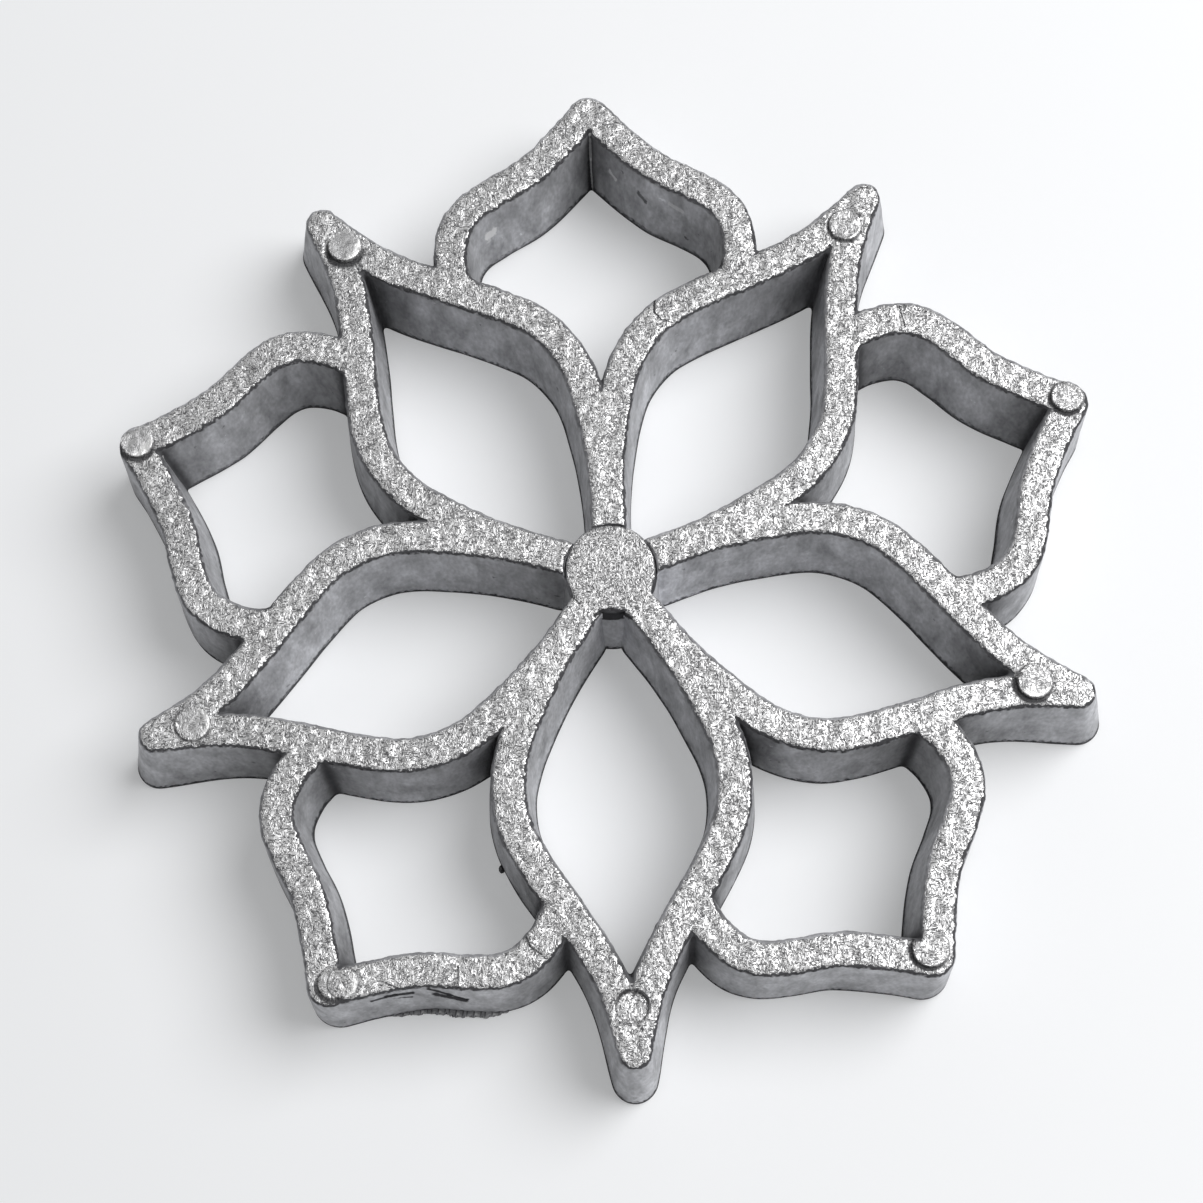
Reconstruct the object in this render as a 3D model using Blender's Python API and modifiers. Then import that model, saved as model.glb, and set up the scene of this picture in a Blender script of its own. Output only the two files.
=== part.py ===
"""Head of a rosette cookie iron: a die-cast flower of drafted petal walls, gripping a tapped centre boss.

It lies as it is stored, on its rear rim (the handle side), with the batter face up. Metres, +Z up; the
origin is at the middle of the rear rim's plane, under the boss. One outer petal points along +Y.

Each petal's outline is half a line, from its root on the petal's own axis to its tip, and is mirrored
across that axis. Petal axes: x runs across the petal, y outwards from the centre of the flower.
"""

import math
from itertools import pairwise

import bmesh
import bpy
from mathutils import Euler, Vector
from mathutils.geometry import interpolate_bezier

# Casting
PETALS = 5
HEIGHT = 0.0100
WALL = 0.0029
WEB_WIDTH = 0.0030
DRAFT_ANGLE = math.radians(3.3)
EDGE_ROUND = 0.0004

# Inner petals: five leaves that meet in webs at the centre
INNER_REACH = 0.0407
INNER_HALF_WIDTH = 0.0105
INNER_ROOT_LENGTH = 0.0082
INNER_TIP_ROUND = 0.0014
INNER_TIP_LEAN_ANGLE = math.radians(14)
INNER_TIP_RAKE = 0.0013
# Knots of a leaf's side between root and tip, as shares of its half width and of its reach
INNER_KNOTS = ((0.878, 0.301), (1.002, 0.421), (0.922, 0.550), (0.311, 0.821))

# Outer petals: five arches that stand on the leaves, halfway between them
OUTER_REACH = 0.0424
OUTER_HALF_WIDTH = 0.01365
OUTER_TIP_ROUND = 0.0018
OUTER_TIP_ANGLE = math.radians(42)
OUTER_HEEL = 0.0030
# Knots of an arch's side from tip to foot, as shares of its half width and of its reach
OUTER_KNOTS = (
    (0.216, 0.943),
    (0.460, 0.869),
    (0.680, 0.828),
    (0.857, 0.788),
    (0.964, 0.737),
    (1.004, 0.666),
    (0.980, 0.596),
)

# Radius that the die leaves in the corner where the two sides of an opening's outer end meet
CORNER_ROUND = 0.0003

# Ejector marks on the petal tips. Each is (petal, counted clockwise from the first, place across the petal,
# distance in from the tip, height of the disc above the face, or its depth below it where negative)
INNER_MARK_DIAMETER = 0.0030
INNER_MARKS = (
    (0, 0.0, 0.0045, 0.00045),
    (1, 0.0, 0.0053, 0.00040),
    (2, 0.0001, 0.0049, -0.00030),
    (3, -0.0001, 0.0045, 0.00015),
    (4, -0.0001, 0.0049, 0.00050),
)
OUTER_MARK_DIAMETER = 0.0026
OUTER_MARKS = (
    (1, -0.0003, 0.0016, 0.00035),
    (2, -0.0001, 0.0024, 0.00035),
    (3, -0.0010, 0.0024, 0.00030),
    (3, 0.0001, 0.0018, 0.00012),
    (4, 0.0003, 0.0015, 0.00035),
)
MARK_DEPTH = 0.0010

# Gate remnant: the lip left on the rear rim of one outer petal where the metal was fed in and broken off
GATE_PETAL = 3
GATE_FROM_TIP = 0.0098
GATE_LENGTH = 0.0068
GATE_STANDOUT = 0.00045
GATE_THICKNESS = 0.0007
GATE_SINK = 0.0001
GATE_STEPS = 10

# Centre boss: a tapered plug that the webs are cast round, tapped from the rear for the handle's rod
BOSS_DIAMETER = 0.0074
BOSS_RECESS = 0.0003
BOSS_CHAMFER = 0.0002
SEAT_GAP = 0.0003
THREAD_DRILL = 0.0042
THREAD_DEPTH = 0.0065
THREAD_CHAMFER = 0.0005
DRILL_POINT_ANGLE = math.radians(118)

# Fineness of the facets
LEAF_CHORD = 0.0012
ARCH_CHORD = 0.0009
CURVE_STEPS = 16
TIP_STEPS = 5
ROUND_SIDES = 48
MARK_SIDES = 20
CUT_MARGIN = 0.0010

PETAL_STEP = math.tau / PETALS
HALF_STEP = PETAL_STEP / 2

CAST_METAL = ((0.50, 0.50, 0.51), 0.55)
BOSS_METAL = ((0.46, 0.46, 0.47), 0.50)


def clear_scene():
    for item in list(bpy.data.objects):
        bpy.data.objects.remove(item, do_unlink=True)


def new_collection(name):
    collection = bpy.data.collections.new(name)
    bpy.context.scene.collection.children.link(collection)
    return collection


def metal(name, look):
    colour, roughness = look
    material = bpy.data.materials.new(name)
    material.use_nodes = True
    shader = material.node_tree.nodes["Principled BSDF"]
    shader.inputs["Base Color"].default_value = (*colour, 1.0)
    shader.inputs["Roughness"].default_value = roughness
    shader.inputs["Metallic"].default_value = 1.0
    return material


def wall_offset(height):
    """How far a wall's side stands outside the front outline at this height: draft below, round edge above."""
    straight = HEIGHT - EDGE_ROUND
    if height <= straight:
        return (straight - height) * math.tan(DRAFT_ANGLE)
    rise = min(height - straight, EDGE_ROUND)
    return math.sqrt(EDGE_ROUND**2 - rise**2) - EDGE_ROUND


def rake_at(height):
    """How much further out than the front outline a leaf's tip reaches at this height."""
    return INNER_TIP_RAKE * max(0.0, 1 - height / (HEIGHT - EDGE_ROUND))


def smooth_line(knots, leave=None, arrive=None):
    """A line through the knots in cubic pieces, each heading along the chord of its neighbours."""
    last = len(knots) - 1
    headings = [(knots[min(i + 1, last)] - knots[max(i - 1, 0)]).normalized() for i in range(last + 1)]
    headings[0] = leave or headings[0]
    headings[-1] = arrive or headings[-1]
    line = [knots[0]]
    for (start, end), (out, into) in zip(pairwise(knots), pairwise(headings)):
        arm = (end - start).length / 3
        line += interpolate_bezier(start, start + out * arm, end - into * arm, end, CURVE_STEPS)[1:]
    return line


def shifted(line, distance):
    """The line moved sideways, to the right of its direction."""
    moved = []
    last = len(line) - 1
    for index, point in enumerate(line):
        along = (line[min(index + 1, last)] - line[max(index - 1, 0)]).normalized()
        moved.append(point + Vector((along.y, -along.x)) * distance)
    return moved


def kept_beside_axis(line):
    """The stretch round the line's widest point that lies at x > 0, ended on the axis where it crosses it."""
    first = last = max(range(len(line)), key=lambda index: line[index].x)
    while first > 0 and line[first - 1].x > 0:
        first -= 1
    while last < len(line) - 1 and line[last + 1].x > 0:
        last += 1
    kept = line[first : last + 1]
    if first > 0:
        outside, inside = line[first - 1], line[first]
        kept.insert(0, outside.lerp(inside, outside.x / (outside.x - inside.x)))
    if last < len(line) - 1:
        inside, outside = line[last], line[last + 1]
        kept.append(inside.lerp(outside, inside.x / (inside.x - outside.x)))
    return kept


def length_of(line):
    return sum((end - start).length for start, end in pairwise(line))


def evenly(line, steps):
    """The same line as this many equal steps."""
    spacing = length_of(line) / steps
    spread = [line[0]]
    walked = 0.0
    for start, end in pairwise(line):
        stretch = (end - start).length
        while len(spread) < steps and walked + stretch >= spacing * len(spread) - 1e-12:
            spread.append(start.lerp(end, (spacing * len(spread) - walked) / max(stretch, 1e-12)))
        walked += stretch
    spread.append(line[-1])
    return spread


def arc(centre, radius, start, end):
    """Points on an arc, with angles counted from the x axis, both ends included."""
    angles = (start + (end - start) * step / TIP_STEPS for step in range(TIP_STEPS + 1))
    return [centre + Vector((math.cos(angle), math.sin(angle))) * radius for angle in angles]


def mirrored(half):
    """A closed ring from half of it, whose first and last points lie on the axis."""
    return half + [Vector((-point.x, point.y)) for point in reversed(half[1:-1])]


def rounded_corner(line, steps):
    """A line that rises to its end on the axis, in equal steps up to the small arc that rounds its corner there."""
    heading = (line[-1] - line[-2]).normalized()
    centre = line[-1] - Vector((0, CORNER_ROUND / abs(heading.x)))
    bend = arc(centre, CORNER_ROUND, math.atan2(abs(heading.x), abs(heading.y)), math.pi / 2)
    before = [point for point in line if point.y < bend[0].y]
    return evenly(before + bend[:1], steps) + bend[1:]


def leaf_side(rake):
    """Side of an inner petal at the front face, from the straight root to where the round tip begins."""
    web = Vector((math.sin(HALF_STEP), math.cos(HALF_STEP)))
    root = Vector((0, (WEB_WIDTH / 2 - WALL) / math.sin(HALF_STEP)))
    knots = [root + web * INNER_ROOT_LENGTH]
    knots += [Vector((INNER_HALF_WIDTH * across, INNER_REACH * out)) for across, out in INNER_KNOTS]
    lean = Vector((math.cos(INNER_TIP_LEAN_ANGLE), math.sin(INNER_TIP_LEAN_ANGLE)))
    knots.append(leaf_tip_centre(rake) + lean * INNER_TIP_ROUND)
    return [root] + smooth_line(knots, leave=web, arrive=Vector((-lean.y, lean.x)))


def leaf_tip_centre(rake):
    return Vector((0, INNER_REACH + rake - INNER_TIP_ROUND))


def leaf_root(offset):
    """Where a leaf's straight side, moved outwards by offset, meets the leaf's axis."""
    return Vector((0, (WEB_WIDTH / 2 - WALL - offset) / math.sin(HALF_STEP)))


def leaf_steps():
    return round(length_of(leaf_side(0)) / LEAF_CHORD)


def leaf_ring(height):
    """Outside of an inner petal's wall at this height."""
    offset = wall_offset(height)
    rake = rake_at(height)
    side = [leaf_root(offset)] + shifted(leaf_side(rake), offset)[1:]
    tip = arc(leaf_tip_centre(rake), INNER_TIP_ROUND + offset, INNER_TIP_LEAN_ANGLE, math.pi / 2)
    return mirrored(evenly(side, leaf_steps()) + tip[1:])


def leaf_opening_ring(height):
    """Inside of an inner petal's wall at this height."""
    offset = -WALL - wall_offset(height)
    side = kept_beside_axis(shifted(leaf_side(0), offset)[1:])
    return mirrored(rounded_corner([leaf_root(offset)] + side, leaf_steps()))


def arch_apex():
    """Where the two straight sides of an arch's tip would meet if it weren't rounded."""
    return Vector((0, OUTER_REACH - OUTER_TIP_ROUND + OUTER_TIP_ROUND / math.sin(OUTER_TIP_ANGLE)))


def arch_side():
    """Side of an outer petal at the front face, from its rounded tip to its heel inside the leaf's wall."""
    square = Vector((math.cos(OUTER_TIP_ANGLE), math.sin(OUTER_TIP_ANGLE)))
    knots = [Vector((0, OUTER_REACH - OUTER_TIP_ROUND)) + square * OUTER_TIP_ROUND]
    knots += [Vector((OUTER_HALF_WIDTH * across, OUTER_REACH * out)) for across, out in OUTER_KNOTS]
    side = smooth_line(knots, leave=Vector((square.y, -square.x)))
    foot = (side[-1] - side[-2]).normalized()
    return side + [side[-1] + foot * OUTER_HEEL]


def arch_ring(height):
    """An outer petal's wall at this height: its outside down one side and its inside back up, mirrored."""
    offset = wall_offset(height)
    steps = round(length_of(arch_side()) / ARCH_CHORD)
    centre = Vector((0, OUTER_REACH - OUTER_TIP_ROUND))
    tip = arc(centre, OUTER_TIP_ROUND + offset, math.pi / 2, OUTER_TIP_ANGLE)
    outside = tip[:-1] + evenly(shifted(arch_side(), -offset), steps)
    inside = kept_beside_axis(shifted([arch_apex()] + arch_side(), WALL + offset))
    return mirrored(outside + rounded_corner(list(reversed(inside)), steps))


def gate_ring():
    """Outline of the gate remnant: swollen along the rear rim, with both its ends inside the wall."""
    rim = shifted(arch_side(), -wall_offset(0))
    fine = evenly(rim, round(length_of(rim) / GATE_LENGTH * GATE_STEPS))
    first = round(max(GATE_FROM_TIP - GATE_LENGTH / 2, 0) / GATE_LENGTH * GATE_STEPS)
    stretch = fine[first : first + GATE_STEPS + 1]
    swell = [GATE_STANDOUT * math.sin(math.pi * step / GATE_STEPS) - GATE_SINK for step in range(len(stretch))]
    outside = [edge.lerp(far, share) for edge, far, share in zip(stretch, shifted(stretch, -1), swell)]
    inside = shifted(stretch, WALL / 2)
    return [Vector((-point.x, point.y)) for point in outside + list(reversed(inside))]


def loft(name, rings, collection):
    """A closed solid through (height, ring) pairs, lowest first, each ring with the same number of points."""
    mesh = bmesh.new()
    loops = [[mesh.verts.new((point.x, point.y, height)) for point in ring] for height, ring in rings]
    for low, high in pairwise(loops):
        for index in range(len(low)):
            after = (index + 1) % len(low)
            mesh.faces.new((low[index], low[after], high[after], high[index]))
    mesh.faces.new(loops[0])
    mesh.faces.new(loops[-1])
    bmesh.ops.recalc_face_normals(mesh, faces=mesh.faces)
    data = bpy.data.meshes.new(name)
    mesh.to_mesh(data)
    mesh.free()
    solid = bpy.data.objects.new(name, data)
    collection.objects.link(solid)
    return solid


def wall_heights():
    """Heights of a wall's sections: rear rim, start of the round edge, its middle and the front face."""
    straight = HEIGHT - EDGE_ROUND
    return [0.0, straight, straight + EDGE_ROUND * math.sin(math.pi / 4), HEIGHT]


def ring_of(shape, angle, count, collection):
    """Copies of a shape turned about the centre, the first at this angle clockwise from +Y."""
    for index in range(count):
        copy = shape if index == 0 else shape.copy()
        copy.name = f"{shape.name.split('.')[0]}_{index + 1}"
        copy.rotation_euler.z = -(angle + index * PETAL_STEP)
        if index:
            collection.objects.link(copy)


def add_marks(marks, reach, angle, diameter, raised, sunk):
    """Ejector marks on petals that reach this far, the first petal at this angle clockwise from +Y."""
    for petal, across, inset, height in marks:
        low, high = (HEIGHT - MARK_DEPTH, HEIGHT + height) if height > 0 else (HEIGHT + height, HEIGHT + MARK_DEPTH)
        place = Vector((across, reach - inset, (low + high) / 2))
        place.rotate(Euler((0, 0, -(angle + petal * PETAL_STEP))))
        bpy.ops.mesh.primitive_cylinder_add(
            vertices=MARK_SIDES, radius=diameter / 2, depth=high - low, location=place
        )
        take(bpy.context.object, "mark", raised if height > 0 else sunk)


def take(item, name, collection):
    """Names an object that an operator has just made, and moves it to the collection."""
    item.name = name
    for holder in list(item.users_collection):
        holder.objects.unlink(item)
    collection.objects.link(item)
    return item


def combine(target, tools, operation):
    step = target.modifiers.new(operation.lower(), "BOOLEAN")
    step.operation = operation
    step.operand_type = "COLLECTION"
    step.collection = tools
    step.solver = "EXACT"


def boss_radius(height):
    """Outer radius of the boss, which grows towards the rear by the same draft as the walls."""
    return BOSS_DIAMETER / 2 + (HEIGHT - height) * math.tan(DRAFT_ANGLE)


def make_boss_seat(collection):
    """Tapered hole between the web ends, a seat gap wider than the boss all the way."""
    low, high = -CUT_MARGIN, HEIGHT + CUT_MARGIN
    bpy.ops.mesh.primitive_cone_add(
        vertices=ROUND_SIDES,
        radius1=boss_radius(low) + SEAT_GAP,
        radius2=boss_radius(high) + SEAT_GAP,
        depth=high - low,
        location=(0, 0, (low + high) / 2),
    )
    take(bpy.context.object, "boss_seat", collection)


def make_casting(parts, fusing, cutting):
    inner_angle = HALF_STEP
    heights = wall_heights()
    cut_heights = [-CUT_MARGIN] + heights[1:] + [HEIGHT + CUT_MARGIN]
    casting = loft("petal_casting", [(height, leaf_ring(height)) for height in heights], parts)
    casting.rotation_euler.z = -inner_angle
    leaf = bpy.data.objects.new("leaf", casting.data.copy())
    fusing.objects.link(leaf)
    ring_of(leaf, inner_angle + PETAL_STEP, PETALS - 1, fusing)
    ring_of(loft("arch", [(height, arch_ring(height)) for height in heights], fusing), 0, PETALS, fusing)
    opening = loft("opening", [(height, leaf_opening_ring(height)) for height in cut_heights], cutting)
    ring_of(opening, inner_angle, PETALS, cutting)
    make_boss_seat(cutting)
    add_marks(INNER_MARKS, INNER_REACH, inner_angle, INNER_MARK_DIAMETER, fusing, cutting)
    add_marks(OUTER_MARKS, OUTER_REACH, 0, OUTER_MARK_DIAMETER, fusing, cutting)
    gate = loft("gate_remnant", [(height, gate_ring()) for height in (0, GATE_THICKNESS)], fusing)
    gate.rotation_euler.z = -GATE_PETAL * PETAL_STEP
    combine(casting, fusing, "UNION")
    combine(casting, cutting, "DIFFERENCE")
    casting.data.materials.append(metal("cast_metal", CAST_METAL))
    return casting


def make_boss(parts):
    """Turned boss: a flat front disc, tapered sides and a blind drilled hole that opens at the rear."""
    top = HEIGHT - BOSS_RECESS
    drill = THREAD_DRILL / 2
    point = drill / math.tan(DRILL_POINT_ANGLE / 2)
    profile = [
        (0, top),
        (boss_radius(top) - BOSS_CHAMFER, top),
        (boss_radius(top - BOSS_CHAMFER), top - BOSS_CHAMFER),
        (boss_radius(0), 0),
        (drill + THREAD_CHAMFER, 0),
        (drill, THREAD_CHAMFER),
        (drill, THREAD_DEPTH),
        (0, THREAD_DEPTH + point),
    ]
    data = bpy.data.meshes.new("centre_boss")
    edges = [(index, index + 1) for index in range(len(profile) - 1)]
    data.from_pydata([(radius, 0, height) for radius, height in profile], edges, [])
    boss = bpy.data.objects.new("centre_boss", data)
    parts.objects.link(boss)
    turn = boss.modifiers.new("turn", "SCREW")
    turn.steps = turn.render_steps = ROUND_SIDES
    turn.use_merge_vertices = True
    turn.merge_threshold = 0.00001
    turn.use_smooth_shade = False
    boss.data.materials.append(metal("boss_metal", BOSS_METAL))
    return boss


def build():
    clear_scene()
    parts = new_collection("rosette_iron_head")
    fusing = new_collection("shapes_fused")
    cutting = new_collection("shapes_cut")
    make_casting(parts, fusing, cutting)
    make_boss(parts)
    for collection in (fusing, cutting):
        for item in collection.objects:
            item.hide_render = True
            item.display_type = "WIRE"


build()
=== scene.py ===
"""Looks of a rosette cookie iron's head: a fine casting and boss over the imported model, on a plain stage.

Metres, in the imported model's own frame: the head lies on its rear rim at z = 0 with its batter face up, and
one outer petal points along +Y. Places in the plane are complex numbers, x + iy.
"""

import math
from itertools import pairwise

import bmesh
import bpy
import numpy as np
from bpy.props import FloatProperty, FloatVectorProperty, IntProperty, PointerProperty
from mathutils import Matrix, Vector
from mathutils.geometry import delaunay_2d_cdt


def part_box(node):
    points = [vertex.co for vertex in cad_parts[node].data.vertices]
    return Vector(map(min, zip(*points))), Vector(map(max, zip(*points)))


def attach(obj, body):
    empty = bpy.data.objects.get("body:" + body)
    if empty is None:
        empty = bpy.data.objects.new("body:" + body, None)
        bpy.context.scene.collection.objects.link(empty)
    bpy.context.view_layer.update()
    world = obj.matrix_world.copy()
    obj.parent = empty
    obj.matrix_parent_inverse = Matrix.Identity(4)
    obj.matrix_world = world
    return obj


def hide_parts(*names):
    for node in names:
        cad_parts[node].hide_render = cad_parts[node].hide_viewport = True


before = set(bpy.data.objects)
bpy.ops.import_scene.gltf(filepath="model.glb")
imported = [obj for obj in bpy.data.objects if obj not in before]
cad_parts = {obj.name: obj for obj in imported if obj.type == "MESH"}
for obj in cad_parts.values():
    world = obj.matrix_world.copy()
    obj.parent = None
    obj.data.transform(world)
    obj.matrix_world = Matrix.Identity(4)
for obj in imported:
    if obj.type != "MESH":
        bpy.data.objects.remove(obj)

bl_info = {
    "name": "Rosette Iron Head",
    "version": (1, 0, 0),
    "blender": (4, 5, 0),
    "location": "3D View > Sidebar > Rosette Iron",
    "description": "Builds the cast head of a rosette cookie iron, its tapped boss and a plain stage",
    "category": "Add Mesh",
}

# Knots of a leaf's side between root and tip, as shares of its half width and of its reach
INNER_KNOTS = ((0.878, 0.301), (1.002, 0.421), (0.922, 0.550), (0.311, 0.821))
# Knots of an arch's side from tip to foot, as shares of its half width and of its reach
OUTER_KNOTS = (
    (0.216, 0.943),
    (0.460, 0.869),
    (0.680, 0.828),
    (0.857, 0.788),
    (0.964, 0.737),
    (1.004, 0.666),
    (0.980, 0.596),
)
# Ejector marks as (petal, place across it, distance in from its tip, height above the face or below it where
# negative, radius, width of the painted shadow beside it, way that this lies in degrees, width of its
# painted highlight rim, way that the rim lies, how smooth it is worn from 0 to 1)
INNER_MARKS = (
    (0, 0.0, 0.0045, 0.00030, 0.00142, 0.00010, 235, 0.00010, 320, 0.35),
    (1, 0.00015, 0.0051, 0.00040, 0.00148, 0.00034, 232, 0.00046, 268, 0.35),
    (2, 0.0, 0.0049, -0.00025, 0.00128, 0.00016, 75, 0.0, 320, 0.0),
    (3, -0.0001, 0.0045, 0.00015, 0.00146, 0.00008, 250, 0.00022, 8, 0.5),
    (4, 0.00022, 0.0044, 0.00050, 0.00146, 0.00036, 262, 0.00042, 325, 0.8),
)
OUTER_MARKS = (
    (1, -0.00045, 0.0016, 0.00035, 0.00138, 0.00024, 240, 0.00008, 320, 0.35),
    (2, -0.00015, 0.0023, 0.00035, 0.00150, 0.00022, 215, 0.00006, 320, 0.1),
    (3, -0.00094, 0.0025, 0.00028, 0.00128, 0.00003, 40, 0.00030, 345, 0.1),
    (3, -0.00030, 0.0021, 0.00014, 0.00128, 0.00030, 248, 0.0, 320, 0.5),
    (4, 0.0003, 0.0015, 0.00035, 0.00142, 0.00028, 262, 0.00060, 318, 0.7),
)
# Marks of wear and casting, and painted shade in a corner, as (start, end, half width, shade). A shade below
# 0 darkens the metal, and one above 0 brightens it
SCRATCHES_AND_SHADE = (
    ((0.0048, 0.0235, 0.0100), (0.00473, 0.0223, 0.0100), 0.00011, -0.95),
    ((0.00473, 0.0223, 0.0100), (0.00526, 0.02165, 0.0100), 0.00006, -0.9),
    ((0.00526, 0.02165, 0.0100), (0.0062, 0.0213, 0.0100), 0.00006, -0.75),
    ((0.02535, 0.0218, 0.0100), (0.02568, 0.0199, 0.0100), 0.00006, -0.85),
    ((0.02577, 0.0219, 0.0100), (0.02577, 0.0215, 0.0100), 0.00012, -0.7),
    ((0.0250, 0.0218, 0.0100), (0.02526, 0.0200, 0.0100), 0.00010, 0.9),
    ((-0.00845, -0.0292, 0.0100), (-0.00862, -0.0318, 0.0100), 0.00011, 0.9),
    ((-0.00812, -0.0299, 0.0100), (-0.00786, -0.0306, 0.0100), 0.00009, -0.9),
    ((-0.00786, -0.0306, 0.0100), (-0.0070, -0.0313, 0.0100), 0.00008, -0.8),
    ((-0.0149, -0.0309, 0.0100), (-0.0150, -0.03255, 0.0100), 0.00007, 0.8),
    ((-0.01356, -0.0319, 0.0100), (-0.01365, -0.0336, 0.0100), 0.00008, -0.7),
    ((-0.01337, -0.03105, 0.0100), (-0.01348, -0.0333, 0.0100), 0.00007, 0.85),
    ((-0.0193, -0.0330, 0.0100), (-0.0184, -0.0334, 0.0100), 0.00007, -0.8),
    # Painted shade down the corner at the top petal's inner apex
    ((0.0, 0.03915, 0.0099), (0.0, 0.0379, 0.0), 0.00030, -0.95),
    ((0.00007, 0.0389, 0.0096), (0.00007, 0.0385, 0.0058), 0.00013, 0.42),
    ((0.00007, 0.0385, 0.0058), (0.00011, 0.0379, 0.0004), 0.00009, 0.42),
    ((-0.0206, -0.0341, 0.0080), (-0.0187, -0.0337, 0.0086), 0.00016, -0.9),
    ((-0.0194, -0.0338, 0.0085), (-0.0174, -0.0336, 0.0082), 0.00022, -0.95),
    ((-0.0193, -0.0337, 0.0070), (-0.0176, -0.0336, 0.0064), 0.00015, -0.9),
    ((-0.0159, -0.0336, 0.0092), (-0.0145, -0.0338, 0.0074), 0.00026, -0.95),
    ((-0.0155, -0.0337, 0.0068), (-0.0134, -0.0341, 0.0058), 0.00036, -0.95),
    ((-0.0145, -0.0338, 0.0074), (-0.0132, -0.0340, 0.0060), 0.00022, -0.95),
    ((-0.0092, 0.03147, 0.0062), (-0.00858, 0.03188, 0.0063), 0.00025, 1.0),
    ((-0.0095, 0.0313, 0.0050), (-0.0090, 0.0316, 0.0052), 0.00012, 0.5),
    ((0.0016, 0.0369, 0.0064), (0.0021, 0.0364, 0.0059), 0.00016, 0.5),
    ((0.0040, 0.0347, 0.0064), (0.0047, 0.0343, 0.0058), 0.00018, -0.6),
    ((0.0066, 0.0331, 0.0076), (0.0077, 0.0325, 0.0072), 0.00014, 0.45),
    ((-0.0360, 0.0107, 0.0052), (-0.0368, 0.0119, 0.0090), 0.00010, 0.6),
)
# Dark seams round the lower side of the boss, with the painted shadow under its rim, in the same form
HUB_SEAMS_AND_SHADOW = (
    ((-0.0015, -0.0038, 0.0097), (-0.0008, -0.00345, 0.0097), 0.00016, -0.95),
    ((-0.0008, -0.00345, 0.0097), (0.0, -0.0034, 0.0097), 0.00017, -0.95),
    ((0.0, -0.0034, 0.0097), (0.0008, -0.00365, 0.0097), 0.00017, -0.95),
    ((0.0008, -0.00365, 0.0097), (0.0015, -0.0042, 0.0097), 0.00016, -0.95),
    ((-0.0035, -0.0019, 0.0098), (-0.0027, -0.0028, 0.0098), 0.00010, -0.85),
)
# Finish of each piece as (share of the grain's strokes that run upright, width of the painted shade line
# round the face, tone, marks of wear with painted shade and shadow among them)
CASTING_FINISH = (0.53, 0.00034, 1.08, SCRATCHES_AND_SHADE + HUB_SEAMS_AND_SHADOW)
BOSS_FINISH = (0.57, 0.0018, 0.96, HUB_SEAMS_AND_SHADOW)
# Greys that the grain's noise turns into, as (noise, grey): a dark hollow beside a bright stroke of painted
# glint, on middle grey
STROKE_STOPS = (
    (0.28, 0.72),
    (0.35, 0.58),
    (0.42, 0.08),
    (0.48, 0.10),
    (0.535, 1.0),
    (0.61, 1.0),
    (0.68, 0.58),
)
# Painted shade above 0 and painted glint below it, in turn along the ragged strip that the gate left
STRIP_SHADE_AND_GLINTS = (-0.10, -0.16, 0.9, -0.45, -0.12, -0.08, 0.9, -0.22, -0.10, -0.6, -0.14, 0.9, -0.1)
# Small lumps of metal left on the walls, as (x, y, height of the middle, radius)
LUMPS = ((-0.01022, -0.02272, 0.0004, 0.00034), (0.02735, -0.0237, 0.0091, 0.00028))
# Radii of the rings of points inside and round an ejector mark's edge, counted from it
MARK_RINGS = (-0.00026, -0.00018, -0.00010, -0.00003, 0.00003, 0.00009, 0.00016, 0.00023, 0.00031, 0.00040)
# A mark's wall, from the end of its flat face to its foot, and the place and width of the groove round it,
# counted from the mark's edge
MARK_WALL = (-0.00010, 0.00003)
GROOVE_PLACE, GROOVE_WIDTH = 0.00009, 0.00007
# Points over the rolled edge of the batter face, and rows further down the wall as shares of its height
ROLL_STEPS = 4
WALL_SHARES = (0.955, 0.86, 0.72, 0.57, 0.42, 0.27, 0.13, 0.05)
CURVE_STEPS = 24
TIP_STEPS = 24
# Length over which each corner of a border is rounded: seat to opening, petal notches, tips of the openings
SEAT_CORNER = 0.00012
NOTCH_CORNER = 0.00045
ARCH_CORNER = 0.0003
LEAF_CORNER = 0.0008
# How far the painted shade in an inner corner reaches along the walls
CREASE_REACH = 0.0034
# Radii over which the closing of the boss's seams fades out, and depths below the face over which it changes
# from all round, deeper down, to the two lower webs alone
SEAT_ZONE = (0.0043, 0.0047)
SEAM_DEPTHS = (0.0013, 0.0006)
# Degrees either side of the bottom petal's axis over which a lower web begins and ends
WEB_START, WEB_END = (11, 21), (57, 63)
# Boss: rings of points on its face and side, size of its rear edge, rows of points to a turn of thread, half
# the angle of the drill's point
BOSS_RINGS = 14
REAR_CHAMFER = 0.0002
TURN_ROWS = 14
DRILL_POINT = math.radians(59)
# Ways that walls face: to the back, to the left and to the right lower corner of the picture
BACK_WAY, LEFT_WAY, RIGHT_WAY = (-0.35, 0.93, 0.0), (-0.966, -0.259, 0.0), (0.707, -0.707, 0.0)
FLOOR_SIDES = 96
STRIP_STEPS = 90
POINT_SEED, STRIP_SEED = 11, 5
SHARP_ANGLE = math.radians(40)


def field(name, description, default, **look):
    return FloatProperty(name=name, description=description, default=default, **look)


def length_field(name, description, default, precision=5):
    return field(name, description, default, precision=precision, subtype="DISTANCE", unit="LENGTH")


def angle_field(name, description, degrees):
    return field(name, description, math.radians(degrees), subtype="ANGLE", unit="ROTATION")


def colour_field(name, description, default):
    look = {"size": 3, "min": 0, "max": 1, "subtype": "COLOR"}
    return FloatVectorProperty(name=name, description=description, default=default, **look)


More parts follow.
